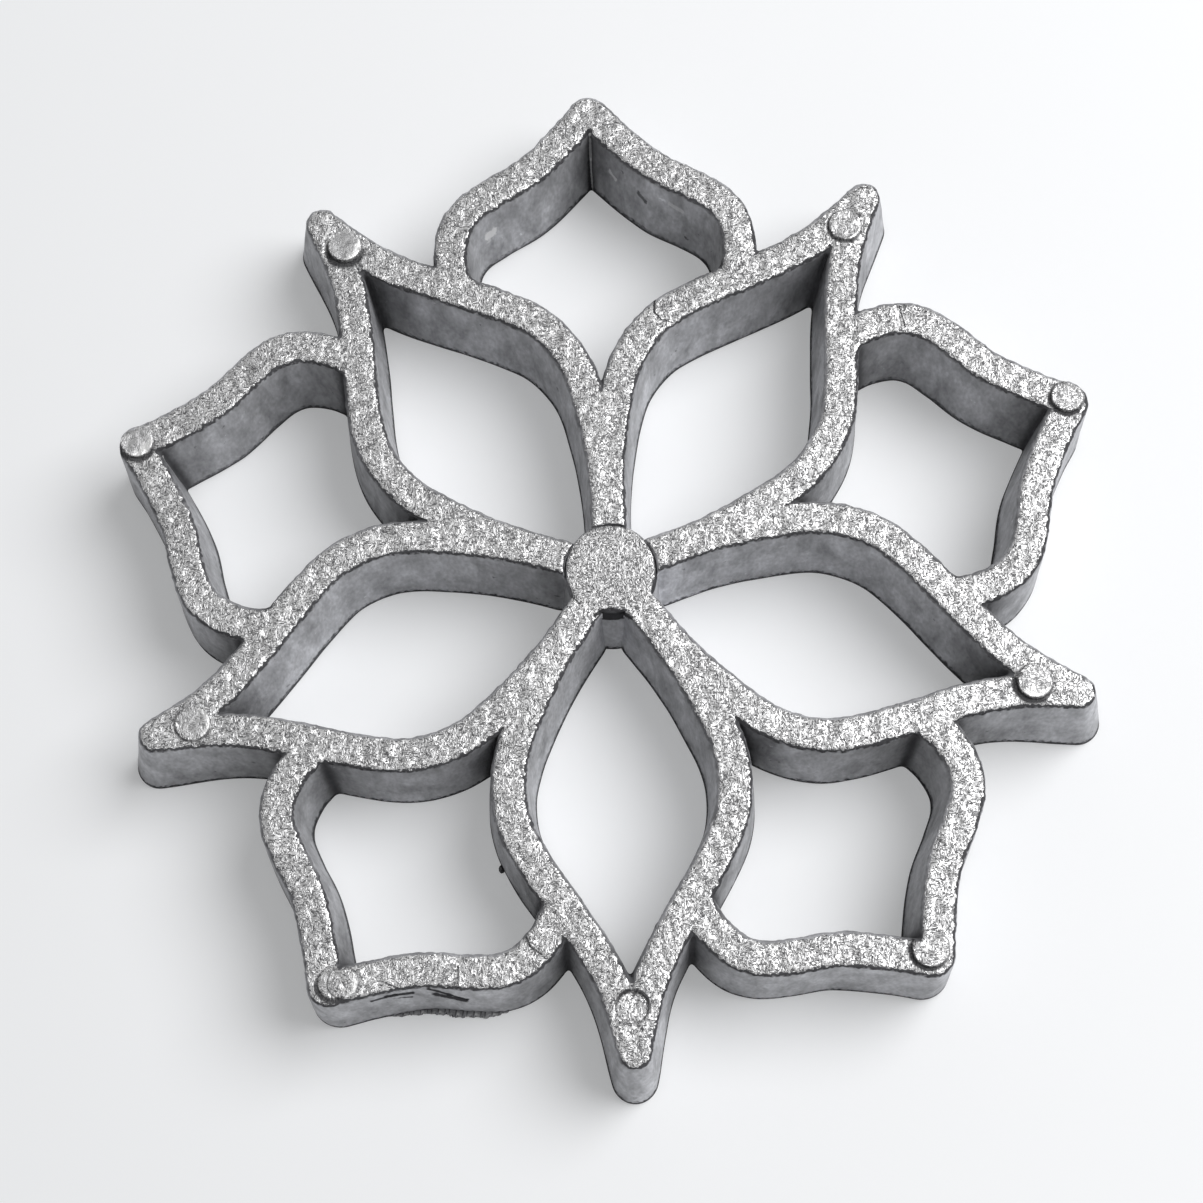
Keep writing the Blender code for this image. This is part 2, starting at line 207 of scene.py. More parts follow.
class CastingSizes(bpy.types.PropertyGroup):
    """Sizes of the petal casting."""

    petals: IntProperty(name="Petals", description="Petals in each of the two rings", default=5, min=3)
    height: length_field("Height", "From the rear rim to the batter face", 0.0100)
    wall: length_field("Wall", "Thickness of the petal walls at the batter face", 0.0029)
    web_width: length_field("Web width", "Width of the webs that run to the boss", 0.0030)
    draft: angle_field("Draft", "Slope that lets the casting leave its die", 3.3)
    edge_round: length_field("Edge round", "Radius of the edges of the batter face", 0.0004)
    rear_round: length_field("Rear edge round", "Radius of the edges of the rear rim", 0.0002)
    inner_reach: length_field("Inner reach", "From the centre to the tip of an inner petal", 0.0407)
    inner_half_width: length_field("Inner half width", "Half the width of an inner petal", 0.0105)
    inner_root: length_field("Inner root length", "Straight start of an inner petal's side", 0.0082)
    inner_tip_round: length_field("Inner tip round", "Radius of an inner petal's tip", 0.0014)
    inner_tip_lean: angle_field("Inner tip lean", "How far an inner petal's sides close in at its tip", 14)
    inner_tip_rake: length_field("Inner tip rake", "How much further it reaches at the rear rim", 0.0013)
    outer_reach: length_field("Outer reach", "From the centre to the tip of an outer petal", 0.0424)
    outer_half_width: length_field("Outer half width", "Half the width of an outer petal", 0.01365)
    outer_tip_round: length_field("Outer tip round", "Radius of an outer petal's tip", 0.0018)
    outer_tip_angle: angle_field("Outer tip angle", "Slope of an outer petal's sides at its tip", 42)
    outer_heel: length_field("Outer heel", "How far an outer petal's foot runs into the inner petal", 0.0030)
    column_step: length_field("Column step", "Between the columns of points along the walls", 0.00024)
    face_step: length_field("Face step", "Between the points of the batter face", 0.00026)


class MarkSizes(bpy.types.PropertyGroup):
    """Sizes of the ejector marks and of the gate remnant."""

    scale: field("Mark scale", "Size of the ejector marks, with 1 as cast", 1.0)
    groove: length_field("Mark groove", "Depth of the groove that a pin leaves round its mark", 0.00001)
    gate_petal: IntProperty(name="Gate petal", description="Outer petal with the gate remnant", default=3)
    gate_from_tip: length_field("Gate place", "From the petal's tip to the middle of the remnant", 0.0084)
    gate_length: length_field("Gate length", "Length of the gate remnant along the rear rim", 0.0102)
    gate_standout: length_field("Gate standout", "How far the remnant stands out from the wall", 0.00064)
    gate_thickness: length_field("Gate thickness", "Height of the gate remnant above the rear rim", 0.0007)


class BossSizes(bpy.types.PropertyGroup):
    """Sizes of the centre boss and its thread."""

    diameter: length_field("Diameter", "Boss at the batter face", 0.0074)
    recess: length_field("Recess", "How far the boss lies below the batter face", 0.0003)
    rim_round: length_field("Rim round", "Radius of the boss's front edge", 0.00022)
    seat_gap: length_field("Seat gap", "Width of the groove round the boss at the batter face", 0.00032)
    seam: length_field("Seam", "Gap between the boss and the webs below the groove", 0.00006)
    drill: length_field("Thread drill", "Diameter of the drilled hole", 0.0042)
    thread_length: length_field("Thread length", "Depth of the tapped hole", 0.0065)
    thread_pitch: length_field("Thread pitch", "Rise of the thread in one turn", 0.0008)
    thread_depth: length_field("Thread depth", "How far the thread is cut into the drilled hole", 0.0004)
    lean: length_field("Lean", "How much higher the boss's face is at the lower left than opposite", 0.00028)
    shift: length_field("Shift", "How far the boss's face lies towards the first outer petal", 0.00026)
    sides: IntProperty(name="Sides", description="Points round the boss", default=96, min=24)


class MetalFinish(bpy.types.PropertyGroup):
    """Colours and texture of the cast metal."""

    # Face light is the grain's raised strokes with their painted glints, and the bright marks of wear
    face_light: colour_field("Face light", "Raised grain of the batter face", (0.84, 0.84, 0.845))
    face_dark: colour_field("Face dark", "Hollows between the grain of the batter face", (0.11, 0.11, 0.115))
    wall_colour: colour_field("Wall", "Smooth skin of the petal walls", (0.378, 0.381, 0.398))
    # Painted shade at edges, feet, corners, marks, lumps and gate strip, and the colour of dark cracks
    shade_and_crack_colour: colour_field("Edge line", "Dark line where the walls meet the face", (0.042, 0.042, 0.045))
    grain_size: length_field("Grain size", "Width of one cell of the face's grain", 0.00035)
    grain_depth: length_field("Grain depth", "Height of the face's grain", 0.00003, precision=6)
    wave_size: length_field("Wave size", "Width of the slow waves in the cast walls", 0.0045)
    wave_depth: length_field("Wave depth", "Height of the slow waves in the cast walls", 0.00010)
    edge_size: length_field("Edge wear size", "Width of the nicks along the face's edges", 0.0007)
    edge_depth: length_field("Edge wear depth", "Depth of the nicks along the face's edges", 0.00016)
    seed: field("Seed", "Place in the noise that shapes the metal", 3.7)


class StageSizes(bpy.types.PropertyGroup):
    """Floor, light and camera."""

    floor_colour: colour_field("Floor", "Pale floor", (0.925, 0.935, 0.955))
    floor_radius: length_field("Floor radius", "Size of the round floor", 3.0)
    floor_glow: field("Floor glow", "Share of its look that is its own paleness", 0.32, subtype="FACTOR")
    key_power: field("Key lamp", "Large soft lamp at the right", 3.75, unit="POWER")
    sky: field("Sky", "Even light from all round", 0.22)
    focal_length: field("Focal length", "Camera lens, on a sensor 36 mm wide", 80.99, unit="CAMERA")
    distance: length_field("Camera distance", "From the camera to the batter face", 0.22183)
    tilt: FloatVectorProperty(
        name="Tilt",
        description="Turn of the head as the camera sees it",
        default=(math.radians(-15.35), math.radians(-0.54), math.radians(2.69)),
        subtype="EULER",
        unit="ROTATION",
    )
    framing: FloatVectorProperty(
        name="Framing",
        description="Place of the head across the picture and up it",
        default=(0.00077, 0.00265),
        size=2,
        precision=5,
        subtype="XYZ",
        unit="LENGTH",
    )


class RosetteIron(bpy.types.PropertyGroup):
    """Everything that the builders read."""

    casting: PointerProperty(type=CastingSizes)
    marks: PointerProperty(type=MarkSizes)
    boss: PointerProperty(type=BossSizes)
    metal: PointerProperty(type=MetalFinish)
    stage: PointerProperty(type=StageSizes)


def clockwise(angle):
    """Factor that turns a place in the plane clockwise about the centre."""
    return complex(math.cos(angle), -math.sin(angle))


def heading_of(line):
    """Direction at each point of a line, along the chord of its neighbours."""
    ahead = np.append(line[1:], line[-1])
    behind = np.insert(line[:-1], 0, line[0])
    return (ahead - behind) / abs(ahead - behind)


def shifted(line, distance):
    """The line moved sideways, to the right of its direction."""
    return line - 1j * heading_of(line) * distance


def smooth_line(knots, leave=None, arrive=None):
    """A line through the knots in cubic pieces, each heading along the chord of its neighbours."""
    knots = np.array(knots)
    headings = heading_of(knots)
    if leave is not None:
        headings[0] = leave
    if arrive is not None:
        headings[-1] = arrive
    share = np.linspace(0, 1, CURVE_STEPS)[1:]
    line = [knots[:1]]
    for (start, end), (out, into) in zip(pairwise(knots), pairwise(headings)):
        arm = abs(end - start) / 3
        bend = (1 - share) ** 3 * start + share**3 * end
        bend = bend + 3 * share * (1 - share) ** 2 * (start + out * arm)
        bend = bend + 3 * share**2 * (1 - share) * (end - into * arm)
        line.append(bend)
    return np.concatenate(line)


def part_of(line, start, end):
    """The stretch of a line between two places, each counted in points and parts of a step."""
    places = [start, *range(math.floor(start) + 1, math.ceil(end)), end]
    return np.interp(places, np.arange(len(line)), line)


def beside_axis(line):
    """The stretch round the line's widest point that lies at x > 0, ended where it meets the axis."""
    across = line.real
    low = high = int(np.argmax(across))
    while low > 0 and across[low - 1] > 0:
        low -= 1
    while high < len(line) - 1 and across[high + 1] > 0:
        high += 1
    start, end = float(low), float(high)
    if low > 0:
        start = low - across[low] / (across[low] - across[low - 1])
    if high < len(line) - 1:
        end = high + across[high] / (across[high] - across[high + 1])
    return part_of(line, start, end)


def crossing(first, second):
    """Where two lines cross, as a place along each."""
    start, step = first[:-1, None], np.diff(first)[:, None]
    other, stride = second[None, :-1], np.diff(second)[None, :]
    apart = other - start
    turn = (np.conj(step) * stride).imag
    turn = np.where(abs(turn) < 1e-18, 1e-18, turn)
    along = (np.conj(apart) * stride).imag / turn
    beside = (np.conj(apart) * step).imag / turn
    meets = (along >= 0) & (along < 1) & (beside >= 0) & (beside < 1)
    if not meets.any():
        raise RuntimeError("two borders of the casting don't meet: the sizes don't fit each other")
    index, other_index = np.argwhere(meets)[0]
    return index + along[index, other_index], other_index + beside[index, other_index]


def arc(centre, radius, start, end):
    """Points on an arc, with angles counted from the x axis, both ends included."""
    return centre + radius * np.exp(1j * np.linspace(start, end, TIP_STEPS + 1))


def leaf_side(size, rake):
    """Side of an inner petal at the batter face, in the petal's own axes, from root to tip."""
    half = math.pi / size.petals
    web = complex(math.sin(half), math.cos(half))
    root = leaf_root(size, 0)
    lean = complex(math.cos(size.inner_tip_lean), math.sin(size.inner_tip_lean))
    knots = [root + web * size.inner_root]
    knots += [complex(size.inner_half_width * across, size.inner_reach * out) for across, out in INNER_KNOTS]
    knots.append(leaf_tip_centre(size, rake) + lean * size.inner_tip_round)
    return np.insert(smooth_line(knots, leave=web, arrive=1j * lean), 0, root)


def leaf_tip_centre(size, rake):
    return 1j * (size.inner_reach + rake - size.inner_tip_round)


def leaf_root(size, offset):
    """Where a leaf's straight side, moved outwards by offset, meets the leaf's axis."""
    return 1j * (size.web_width / 2 - size.wall - offset) / math.sin(math.pi / size.petals)


def arch_side(size):
    """Side of an outer petal at the batter face, from its rounded tip to its heel inside the leaf's wall."""
    square = complex(math.cos(size.outer_tip_angle), math.sin(size.outer_tip_angle))
    knots = [1j * (size.outer_reach - size.outer_tip_round) + square * size.outer_tip_round]
    knots += [complex(size.outer_half_width * across, size.outer_reach * out) for across, out in OUTER_KNOTS]
    side = smooth_line(knots, leave=-1j * square)
    return np.append(side, side[-1] + heading_of(side)[-1] * size.outer_heel)


def to_sector(size, line):
    """Moves a leaf's side from the leaf's own axes to the half sector between a web and the leaf's axis."""
    return -np.conj(line) * clockwise(math.pi / size.petals)


def mirror_web(line):
    """Mirror image across the web's axis, in the opposite order."""
    return -np.conj(line)[::-1]


def mirror_leaf(size, line):
    """Mirror image across the leaf's axis, in the opposite order."""
    return mirror_web(line) * clockwise(math.tau / size.petals)


def border_lines(size, boss, height, offset):
    """The six lines that border the half sector's metal at this height, each pair of them one border.

    They run from the web's axis to the leaf's, round the seat and the leaf's opening and round the outside,
    and from the web to the tip of the outer petal's opening.
    """
    half = math.pi / size.petals
    straight = size.height - size.edge_round
    rake = size.inner_tip_rake * max(0.0, 1 - height / straight)
    side = np.insert(shifted(leaf_side(size, rake), offset)[1:], 0, leaf_root(size, offset))
    tip = arc(leaf_tip_centre(size, rake), size.inner_tip_round + offset, size.inner_tip_lean, math.pi / 2)
    leaf = to_sector(size, np.concatenate([side, tip[1:]]))
    inset = -size.wall - offset
    opening = beside_axis(shifted(leaf_side(size, 0), inset)[1:])
    opening = to_sector(size, np.insert(opening, 0, leaf_root(size, inset)))
    angle = size.outer_tip_angle
    top = 1j * (size.outer_reach - size.outer_tip_round)
    outer_tip = arc(top, size.outer_tip_round + offset, math.pi / 2, angle)
    arch_outside = np.concatenate([outer_tip[:-1], shifted(arch_side(size), -offset)])
    apex = top + 1j * size.outer_tip_round / math.sin(angle)
    arch_inside = beside_axis(shifted(np.insert(arch_side(size), 0, apex), size.wall + offset))
    radius = boss.diameter / 2 + (size.height - height) * math.tan(size.draft) + boss.seam
    radius += (boss.seat_gap - boss.seam) * max(0.0, -offset) / size.edge_round
    seat = radius * np.exp(1j * np.linspace(math.pi / 2, math.pi / 2 - half, TIP_STEPS))
    web_end = int(np.argmax(leaf.real > 0))
    web_end -= leaf[web_end].real / (leaf[web_end] - leaf[web_end - 1]).real
    seat_place, opening_place = crossing(seat, opening)
    foot_place, inside_place = crossing(leaf, arch_inside)
    notch_place, outside_place = crossing(leaf, arch_outside)
    return (
        part_of(seat, 0, seat_place),
        part_of(opening, opening_place, len(opening) - 1),
        part_of(leaf, web_end, foot_place),
        part_of(arch_inside, 0, inside_place)[::-1],
        part_of(arch_outside, 0, outside_place),
        part_of(leaf, notch_place, len(leaf) - 1),
    )


def walk_of(line):
    """How far each point of a line lies from its start, along the line."""
    return np.concatenate([[0], np.cumsum(abs(np.diff(line)))])


def spaced(line, steps, first, last):
    """Points on a line in equal steps, with three shorter steps over each end that gets rounded."""
    walked = walk_of(line)
    places = np.linspace(first, walked[-1] - last, steps + 1)
    if first:
        places = np.concatenate([first * np.arange(3) / 3, places])
    if last:
        places = np.concatenate([places, walked[-1] - last * np.arange(2, -1, -1) / 3])
    return np.interp(places, walked, line)


def round_corner(before, after):
    """Rounds the corner where one line ends and the next begins, over three short steps of each."""
    share = np.arange(7) / 6
    bend = (1 - share) ** 2 * before[-4] + 2 * share * (1 - share) * after[0] + share**2 * after[3]
    before[-4:] = bend[:4]
    after[:4] = bend[3:]


def wall_rows(size):
    """(height, offset) of each row of points down a wall, from the batter face's border to the rear rim."""
    straight = size.height - size.edge_round
    slope = math.tan(size.draft)
    turns = [math.pi / 2 * step / ROLL_STEPS for step in range(ROLL_STEPS + 1)]
    rows = [(straight + size.edge_round * math.cos(t), size.edge_round * (math.sin(t) - 1)) for t in turns]
    rows += [(straight * share, straight * (1 - share) * slope) for share in WALL_SHARES]
    foot = straight * slope
    rear = size.rear_round
    return rows + [(rear, foot - rear * slope), (rear * 0.3, foot - rear * 0.3), (0.0, foot - rear)]


def half_borders(size, boss):
    """The half sector's three borders as arrays of points, with a row for each row of the walls."""
    ends = (
        (0, SEAT_CORNER),
        (SEAT_CORNER, LEAF_CORNER),
        (NOTCH_CORNER, NOTCH_CORNER),
        (NOTCH_CORNER, ARCH_CORNER),
        (0, NOTCH_CORNER),
        (NOTCH_CORNER, 0),
    )
    steps = None
    borders = ([], [], [])
    for height, offset in wall_rows(size):
        lines = border_lines(size, boss, height, offset)
        if steps is None:
            lengths = [abs(np.diff(line)).sum() - sum(end) for line, end in zip(lines, ends)]
            steps = [max(2, round(length / size.column_step)) for length in lengths]
        lines = [spaced(line, count, *end) for line, count, end in zip(lines, steps, ends)]
        for before, after in (lines[0:2], lines[2:4], lines[4:6]):
            round_corner(before, after)
        round_corner(lines[1], mirror_leaf(size, lines[1]))
        round_corner(mirror_web(lines[2]), lines[2])
        round_corner(lines[3], mirror_web(lines[3]))
        for border, (before, after) in zip(borders, (lines[0:2], lines[2:4], lines[4:6])):
            border.append(np.concatenate([before, after[1:]]))
    return [np.array(border) for border in borders]


def edge_ways(size):
    """How far each row of the walls lies from the batter face's flat, along the surface."""
    heights = [height for height, offset in wall_rows(size)]
    roll = [size.edge_round * math.pi / 2 * step / ROLL_STEPS for step in range(ROLL_STEPS + 1)]
    return roll + [roll[-1] + heights[ROLL_STEPS] - height for height in heights[ROLL_STEPS + 1 :]]


def half_walls(size, borders):
    """Mesh of the half sector's walls, with the faces turned away from the metal."""
    heights = [height for height, offset in wall_rows(size)]
    places, faces, ways, creases = [], [], [], []
    for number, border in enumerate(borders):
        rows, columns = border.shape
        base = len(places)
        for row, height, way in zip(border, heights, edge_ways(size)):
            places += [(point.real, point.imag, height) for point in row]
            ways += [way] * columns
            creases += crease_of(row, number)
        for row in range(rows - 1):
            for column in range(columns - 1):
                high = base + row * columns + column
                low = high + columns
                corners = (low, low + 1, high + 1, high)
                faces.append(corners if number == 0 else corners[::-1])
    mesh = bpy.data.meshes.new("casting_walls")
    mesh.from_pydata(places, [], faces)
    set_values(mesh, "edge_way", ways)
    set_values(mesh, "crease", creases)
    return mesh


def crease_of(row, border):
    """How near each point of a border's row lies to a corner where walls meet, from 0 to 1."""
    turn = abs(np.angle((row[6:] - row[3:-3]) * np.conj(row[3:-3] - row[:-6])))
    corner = 3 + int(np.argmax(turn))
    near = np.zeros(len(row))
    for place in ((-1,), (corner, 0, -1), (corner,))[border]:
        near = np.maximum(near, np.exp(-((abs(row - row[place]) / CREASE_REACH) ** 2)))
    return list(near)


def set_values(mesh, name, values):
    """Gives each point of a mesh its own value, which the finish reads."""
    held = mesh.attributes.get(name) or mesh.attributes.new(name, "FLOAT", "POINT")
    held.data.foreach_set("value", np.array(values, np.float32))


def values_of(mesh, name):
    values = np.empty(len(mesh.vertices), np.float32)
    mesh.attributes[name].data.foreach_get("value", values)
    return values


def all_round(size, line):
    """The line, repeated at each petal."""
    return [line * clockwise(math.tau / size.petals * petal) for petal in range(size.petals)]


def whole_loops(size, row, borders):
    """Closed borders of the whole casting's face at one row of the walls."""
    centre, opening, outside = (border[row] for border in borders)
    loops = []
    for side in (centre, outside):
        sector = np.concatenate([side[:-1], mirror_leaf(size, side)[:-1]])
        loops.append(np.concatenate(all_round(size, sector)))
    return loops + all_round(size, np.concatenate([opening[:-1], mirror_web(opening)[:-1]]))


def half_outline(row, borders):
    """Outline of the half sector's metal at one row of the walls."""
    centre, opening, outside = (border[row] for border in borders)
    return np.concatenate([centre, outside[::-1], opening[::-1]])


def folded(size, points):
    """The same places brought into the half sector by the casting's symmetry."""
    step = math.tau / size.petals
    angle = np.arctan2(points.real, points.imag) % step
    angle = np.clip(np.minimum(angle, step - angle), 1e-6, step / 2 - 1e-6)
    return abs(points) * (np.sin(angle) + 1j * np.cos(angle))


def inside(points, outline):
    """Whether each point lies within a closed outline."""
    within = np.zeros(len(points), bool)
    for start, end in zip(outline, np.roll(outline, -1)):
        spans = (start.imag > points.imag) != (end.imag > points.imag)
        rise = end.imag - start.imag
        if rise:
            reach = start.real + (points.imag - start.imag) / rise * (end.real - start.real)
            within ^= spans & (points.real < reach)
    return within


def clear_of(points, border, gap):
    """Whether each point is further than a gap from every point of the border."""
    clear = np.ones(len(points), bool)
    for place in border:
        clear &= abs(points - place) > gap
    return clear


def grid_points(size, outline, step):
    """Points spread evenly over the whole casting's face, clear of its borders."""
    random = np.random.default_rng(POINT_SEED)
    rows = np.arange(0, size.outer_reach, step * 0.866)
    columns = np.arange(0, size.outer_reach, step)
    grid = columns[None, :] + 1j * rows[:, None] + (np.arange(len(rows)) % 2)[:, None] * step / 2
    grid = grid.ravel()
    grid = grid + step * 0.2 * (random.uniform(-1, 1, len(grid)) + 1j * random.uniform(-1, 1, len(grid)))
    half = math.pi / size.petals
    from_leaf_axis = (grid * np.conj(1j * clockwise(half))).imag
    grid = grid[(grid.real > step * 0.4) & (from_leaf_axis > step * 0.4)]
    grid = grid[inside(grid, outline)]
    grid = grid[clear_of(grid, outline, step * 0.7)]
    pair = np.concatenate([grid, -np.conj(grid)])
    return np.concatenate(all_round(size, pair))


def mark_list(size, marks):
    """Every ejector mark, the highest first.

    Each is (centre, radius, height, painted shadow's width and way, painted bright rim's width and way, how
    smooth).
    """
    found = []
    step = math.tau / size.petals
    tables = ((INNER_MARKS, size.inner_reach, step / 2), (OUTER_MARKS, size.outer_reach, 0.0))
    for table, reach, start in tables:
        for petal, across, inset, height, radius, *look in table:
            centre = complex(across, reach - inset) * clockwise(start + petal * step)
            found.append((centre, radius * marks.scale, height, *look))
    return sorted(found, key=lambda mark: -mark[2])


def mark_points(size, marks, outline):
    """Rings of points round and inside the ejector marks, with the edges that join neighbours."""
    points, edges = [], []
    count = 0
    used = []
    for centre, radius, *_ in mark_list(size, marks):
        radii = [radius + extra for extra in MARK_RINGS]
        radii += list(np.arange(radius - 0.00040, 0.0001, -size.face_step))
        for ring_radius in radii:
            number = max(6, round(math.tau * ring_radius / (size.face_step * 0.8)))
            ring = centre + ring_radius * np.exp(1j * math.tau * np.arange(number) / number)
            flat = folded(size, ring)
            kept = inside(flat, outline) & clear_of(flat, outline, size.face_step * 0.35)
            for other, other_radius in used:
                kept &= abs(ring - other) > other_radius + MARK_RINGS[-1] + size.face_step * 0.4
            index = np.cumsum(kept) - 1 + count
            for place in range(number):
                after = (place + 1) % number
                if kept[place] and kept[after]:
                    edges.append((int(index[place]), int(index[after])))
            points.append(ring[kept])
            count += int(kept.sum())
        used.append((centre, radius))
    return np.concatenate(points), edges


def flat_face(size, row, borders, extra, extra_edges):
    """Triangles of the whole face at one row of the walls, between its borders and the extra points."""
    loops = whole_loops(size, row, borders)
    edges = []
    count = 0
    for loop in loops:
        edges += [(count + place, count + (place + 1) % len(loop)) for place in range(len(loop))]
        count += len(loop)
    edges += [(start + count, end + count) for start, end in extra_edges]
    points = np.concatenate([*loops, extra])
    flat = [Vector((point.real, point.imag)) for point in points]
    found, _, faces, _, _, _ = delaunay_2d_cdt(flat, edges, [], 0, 1e-9)
    places = np.array([complex(point.x, point.y) for point in found])
    faces = np.array(faces)
    middles = places[faces].mean(axis=1)
    faces = faces[inside(folded(size, middles), half_outline(row, borders))]
    return places, faces


def face_mesh(size, marks, borders):
    """Mesh of the batter face and of the rear rim, which close the walls."""
    front = half_outline(0, borders)
    rings, ring_edges = mark_points(size, marks, front)
    grid = grid_points(size, front, size.face_step)
    for centre, radius, *_ in mark_list(size, marks):
        grid = grid[abs(grid - centre) > radius + MARK_RINGS[-1] + size.face_step * 0.4]
    top, top_faces = flat_face(size, 0, borders, np.concatenate([rings, grid]), ring_edges)
    rear = len(borders[0]) - 1
    spread = grid_points(size, half_outline(rear, borders), size.face_step * 4)
    low, low_faces = flat_face(size, rear, borders, spread, [])
    places = [(point.real, point.imag, size.height) for point in top]
    places += [(point.real, point.imag, 0.0) for point in low]
    faces = [tuple(int(corner) for corner in face) for face in top_faces]
    faces += [tuple(int(corner) + len(top) for corner in face[::-1]) for face in low_faces]
    mesh = bpy.data.meshes.new("casting_faces")
    mesh.from_pydata(places, [], faces)
    set_values(mesh, "edge_way", [0.0] * len(top) + [edge_ways(size)[-1]] * len(low))
    return mesh


def new_object(name, mesh):
    made = bpy.data.objects.new(name, mesh)
    bpy.context.scene.collection.objects.link(made)
    return made


class Wire:
    """A node's output. Sums with other wires and with numbers add the nodes that work them out."""

    def __init__(self, socket):
        self.socket = socket
        self.tree = socket.id_data

    def __add__(self, other):
        return maths("ADD", self, other)

    def __sub__(self, other):
        return maths("SUBTRACT", self, other)

    def __rsub__(self, other):
        return maths("SUBTRACT", other, self)

    def __mul__(self, other):
        return maths("MULTIPLY", self, other)

    def __truediv__(self, other):
        return maths("DIVIDE", self, other)

    def __rtruediv__(self, other):
        return maths("DIVIDE", other, self)


def join(socket, value):
    """Joins a wire to a node's input, or sets the input to a plain value. None leaves it."""
    if isinstance(value, Wire):
        value.tree.links.new(value.socket, socket)
    elif value is not None:
        socket.default_value = value


def node(kind, *links, tree=None, out=0, at=None, **settings):
    """Adds a node, to the tree of its wires if no other is named, and returns one of its outputs as a wire.

    Links give its first inputs in order, and `at` gives inputs by name.
    """
    given = [*enumerate(links), *(at or {}).items()]
    if tree is None:
        tree = next(value.tree for place, value in given if isinstance(value, Wire))
    made = tree.nodes.new(kind)
    for name, value in settings.items():
        setattr(made, name, value)
    for place, value in given:
        join(made.inputs[place], value)
    return Wire(made.outputs[out])


def maths(operation, *links):
    return node("ShaderNodeMath", *links, operation=operation)


def vectors(operation, *links, **more):
    return node("ShaderNodeVectorMath", *links, operation=operation, **more)


def scaled(vector, share):
    return vectors("SCALE", vector, at={"Scale": share})


def along_way(vector, way):
    """How far a vector runs in this direction."""
    return vectors("DOT_PRODUCT", vector, way, out="Value")


def length_of(vector):
    return vectors("LENGTH", vector, out="Value")


def parts_of(vector):
    """A vector's three parts, as wires."""
    return [Wire(socket) for socket in node("ShaderNodeSeparateXYZ", vector).socket.node.outputs]


def larger(first, second):
    return maths("MAXIMUM", first, second)


def ranged(value, low, high, to_low=0.0, to_high=1.0, smooth=False):
    """A value brought from one range to another, and held inside it."""
    kind = "SMOOTHSTEP" if smooth else "LINEAR"
    return node("ShaderNodeMapRange", value, low, high, to_low, to_high, interpolation_type=kind)


def noise(place, size, out=0, detail=0.0, roughness=0.5, distortion=0.0, seed=0.0):
    """Noise whose cells have this size in metres."""
    look = {"Detail": detail, "Roughness": roughness, "Distortion": distortion}
    where = {"Vector": place, "W": seed, "Scale": 1 / size}
    return node("ShaderNodeTexNoise", out=out, at=where | look, noise_dimensions="4D")


def wobble(place, size, depth, seed, weight=1.0):
    """Offset in every direction by noise of this size and depth."""
    offset = vectors("SUBTRACT", noise(place, size, "Color", detail=1.0, seed=seed), (0.5, 0.5, 0.5))
    return scaled(offset, depth * weight * 2.0)


def together(*parts):
    """Geometry of all these wires."""
    made = parts[0].tree.nodes.new("GeometryNodeJoinGeometry")
    for part in parts:
        join(made.inputs[0], part)
    return Wire(made.outputs[0])


def shaped(item, name, values, build):
    """Runs a geometry tree with these inputs on an object, and swaps it for the result as a plain mesh.

    `build` takes the inputs as wires and returns the tree's geometry.
    """
    tree = bpy.data.node_groups.new(name, "GeometryNodeTree")
    sockets = tree.interface
    sockets.new_socket(name="Geometry", in_out="OUTPUT", socket_type="NodeSocketGeometry")
    sockets.new_socket(name="Geometry", in_out="INPUT", socket_type="NodeSocketGeometry")
    kinds = ((bpy.types.Object, "Object"), (bpy.types.Material, "Material"), (int, "Int"), (float, "Float"))
    names = {}
    for label, value in values.items():
        kind = next(kind for held, kind in kinds if isinstance(value, held))
        socket = sockets.new_socket(name=label, in_out="INPUT", socket_type=f"NodeSocket{kind}")
        names[label] = socket.identifier
    given = {socket.name: Wire(socket) for socket in tree.nodes.new("NodeGroupInput").outputs if socket.name}
    smooth = node("GeometryNodeSetShadeSmooth", build(given))
    real = node("GeometryNodeRealizeInstances", smooth)
    painted = node("GeometryNodeSetMaterial", real, at={"Material": given["Material"]})
    join(tree.nodes.new("NodeGroupOutput").inputs[0], painted)
    step = item.modifiers.new("shape", "NODES")
    step.node_group = tree
    for label, value in values.items():
        step[names[label]] = value
    graph = bpy.context.evaluated_depsgraph_get()
    mesh = bpy.data.meshes.new_from_object(item.evaluated_get(graph))
    item.modifiers.remove(step)
    bpy.data.objects.remove(item)
    mesh.materials.clear()
    mesh.materials.append(values["Material"])
    mesh.polygons.foreach_set("material_index", np.zeros(len(mesh.polygons), np.int32))
    return mesh


def casting_pattern(given):
    """Repeats the half sector round the centre, closes it with the faces and roughens it as a casting is."""
    half, height, edge, seed = (given[name] for name in ("Geometry", "Height", "Edge round", "Seed"))
    mirrored = node("GeometryNodeTransform", half, at={"Scale": (-1, 1, 1)})
    sector = together(half, node("GeometryNodeFlipFaces", mirrored))
    turn = math.tau / given["Petals"] * node("GeometryNodeInputIndex", tree=half.tree)
    copies = {"Instance": sector, "Rotation": node("ShaderNodeCombineXYZ", 0.0, 0.0, turn)}
    ring = node("GeometryNodeInstanceOnPoints", node("GeometryNodePoints", given["Petals"]), at=copies)
    faces = node("GeometryNodeObjectInfo", out="Geometry", at={"Object": given["Faces"]})
    whole = together(node("GeometryNodeRealizeInstances", ring), faces)
    closed = node("GeometryNodeMergeByDistance", whole, at={"Distance": given["Join distance"]})
    place = node("GeometryNodeInputPosition", tree=half.tree)
    near_edge = ranged(parts_of(place)[2], height - edge * 2.5, height - edge)
    waves = wobble(place, given["Wave size"], given["Wave depth"], seed)
    nicks = wobble(place, given["Edge wear size"], given["Edge wear depth"], seed, near_edge)
    return node("GeometryNodeSetPosition", closed, at={"Offset": vectors("ADD", waves, nicks)})


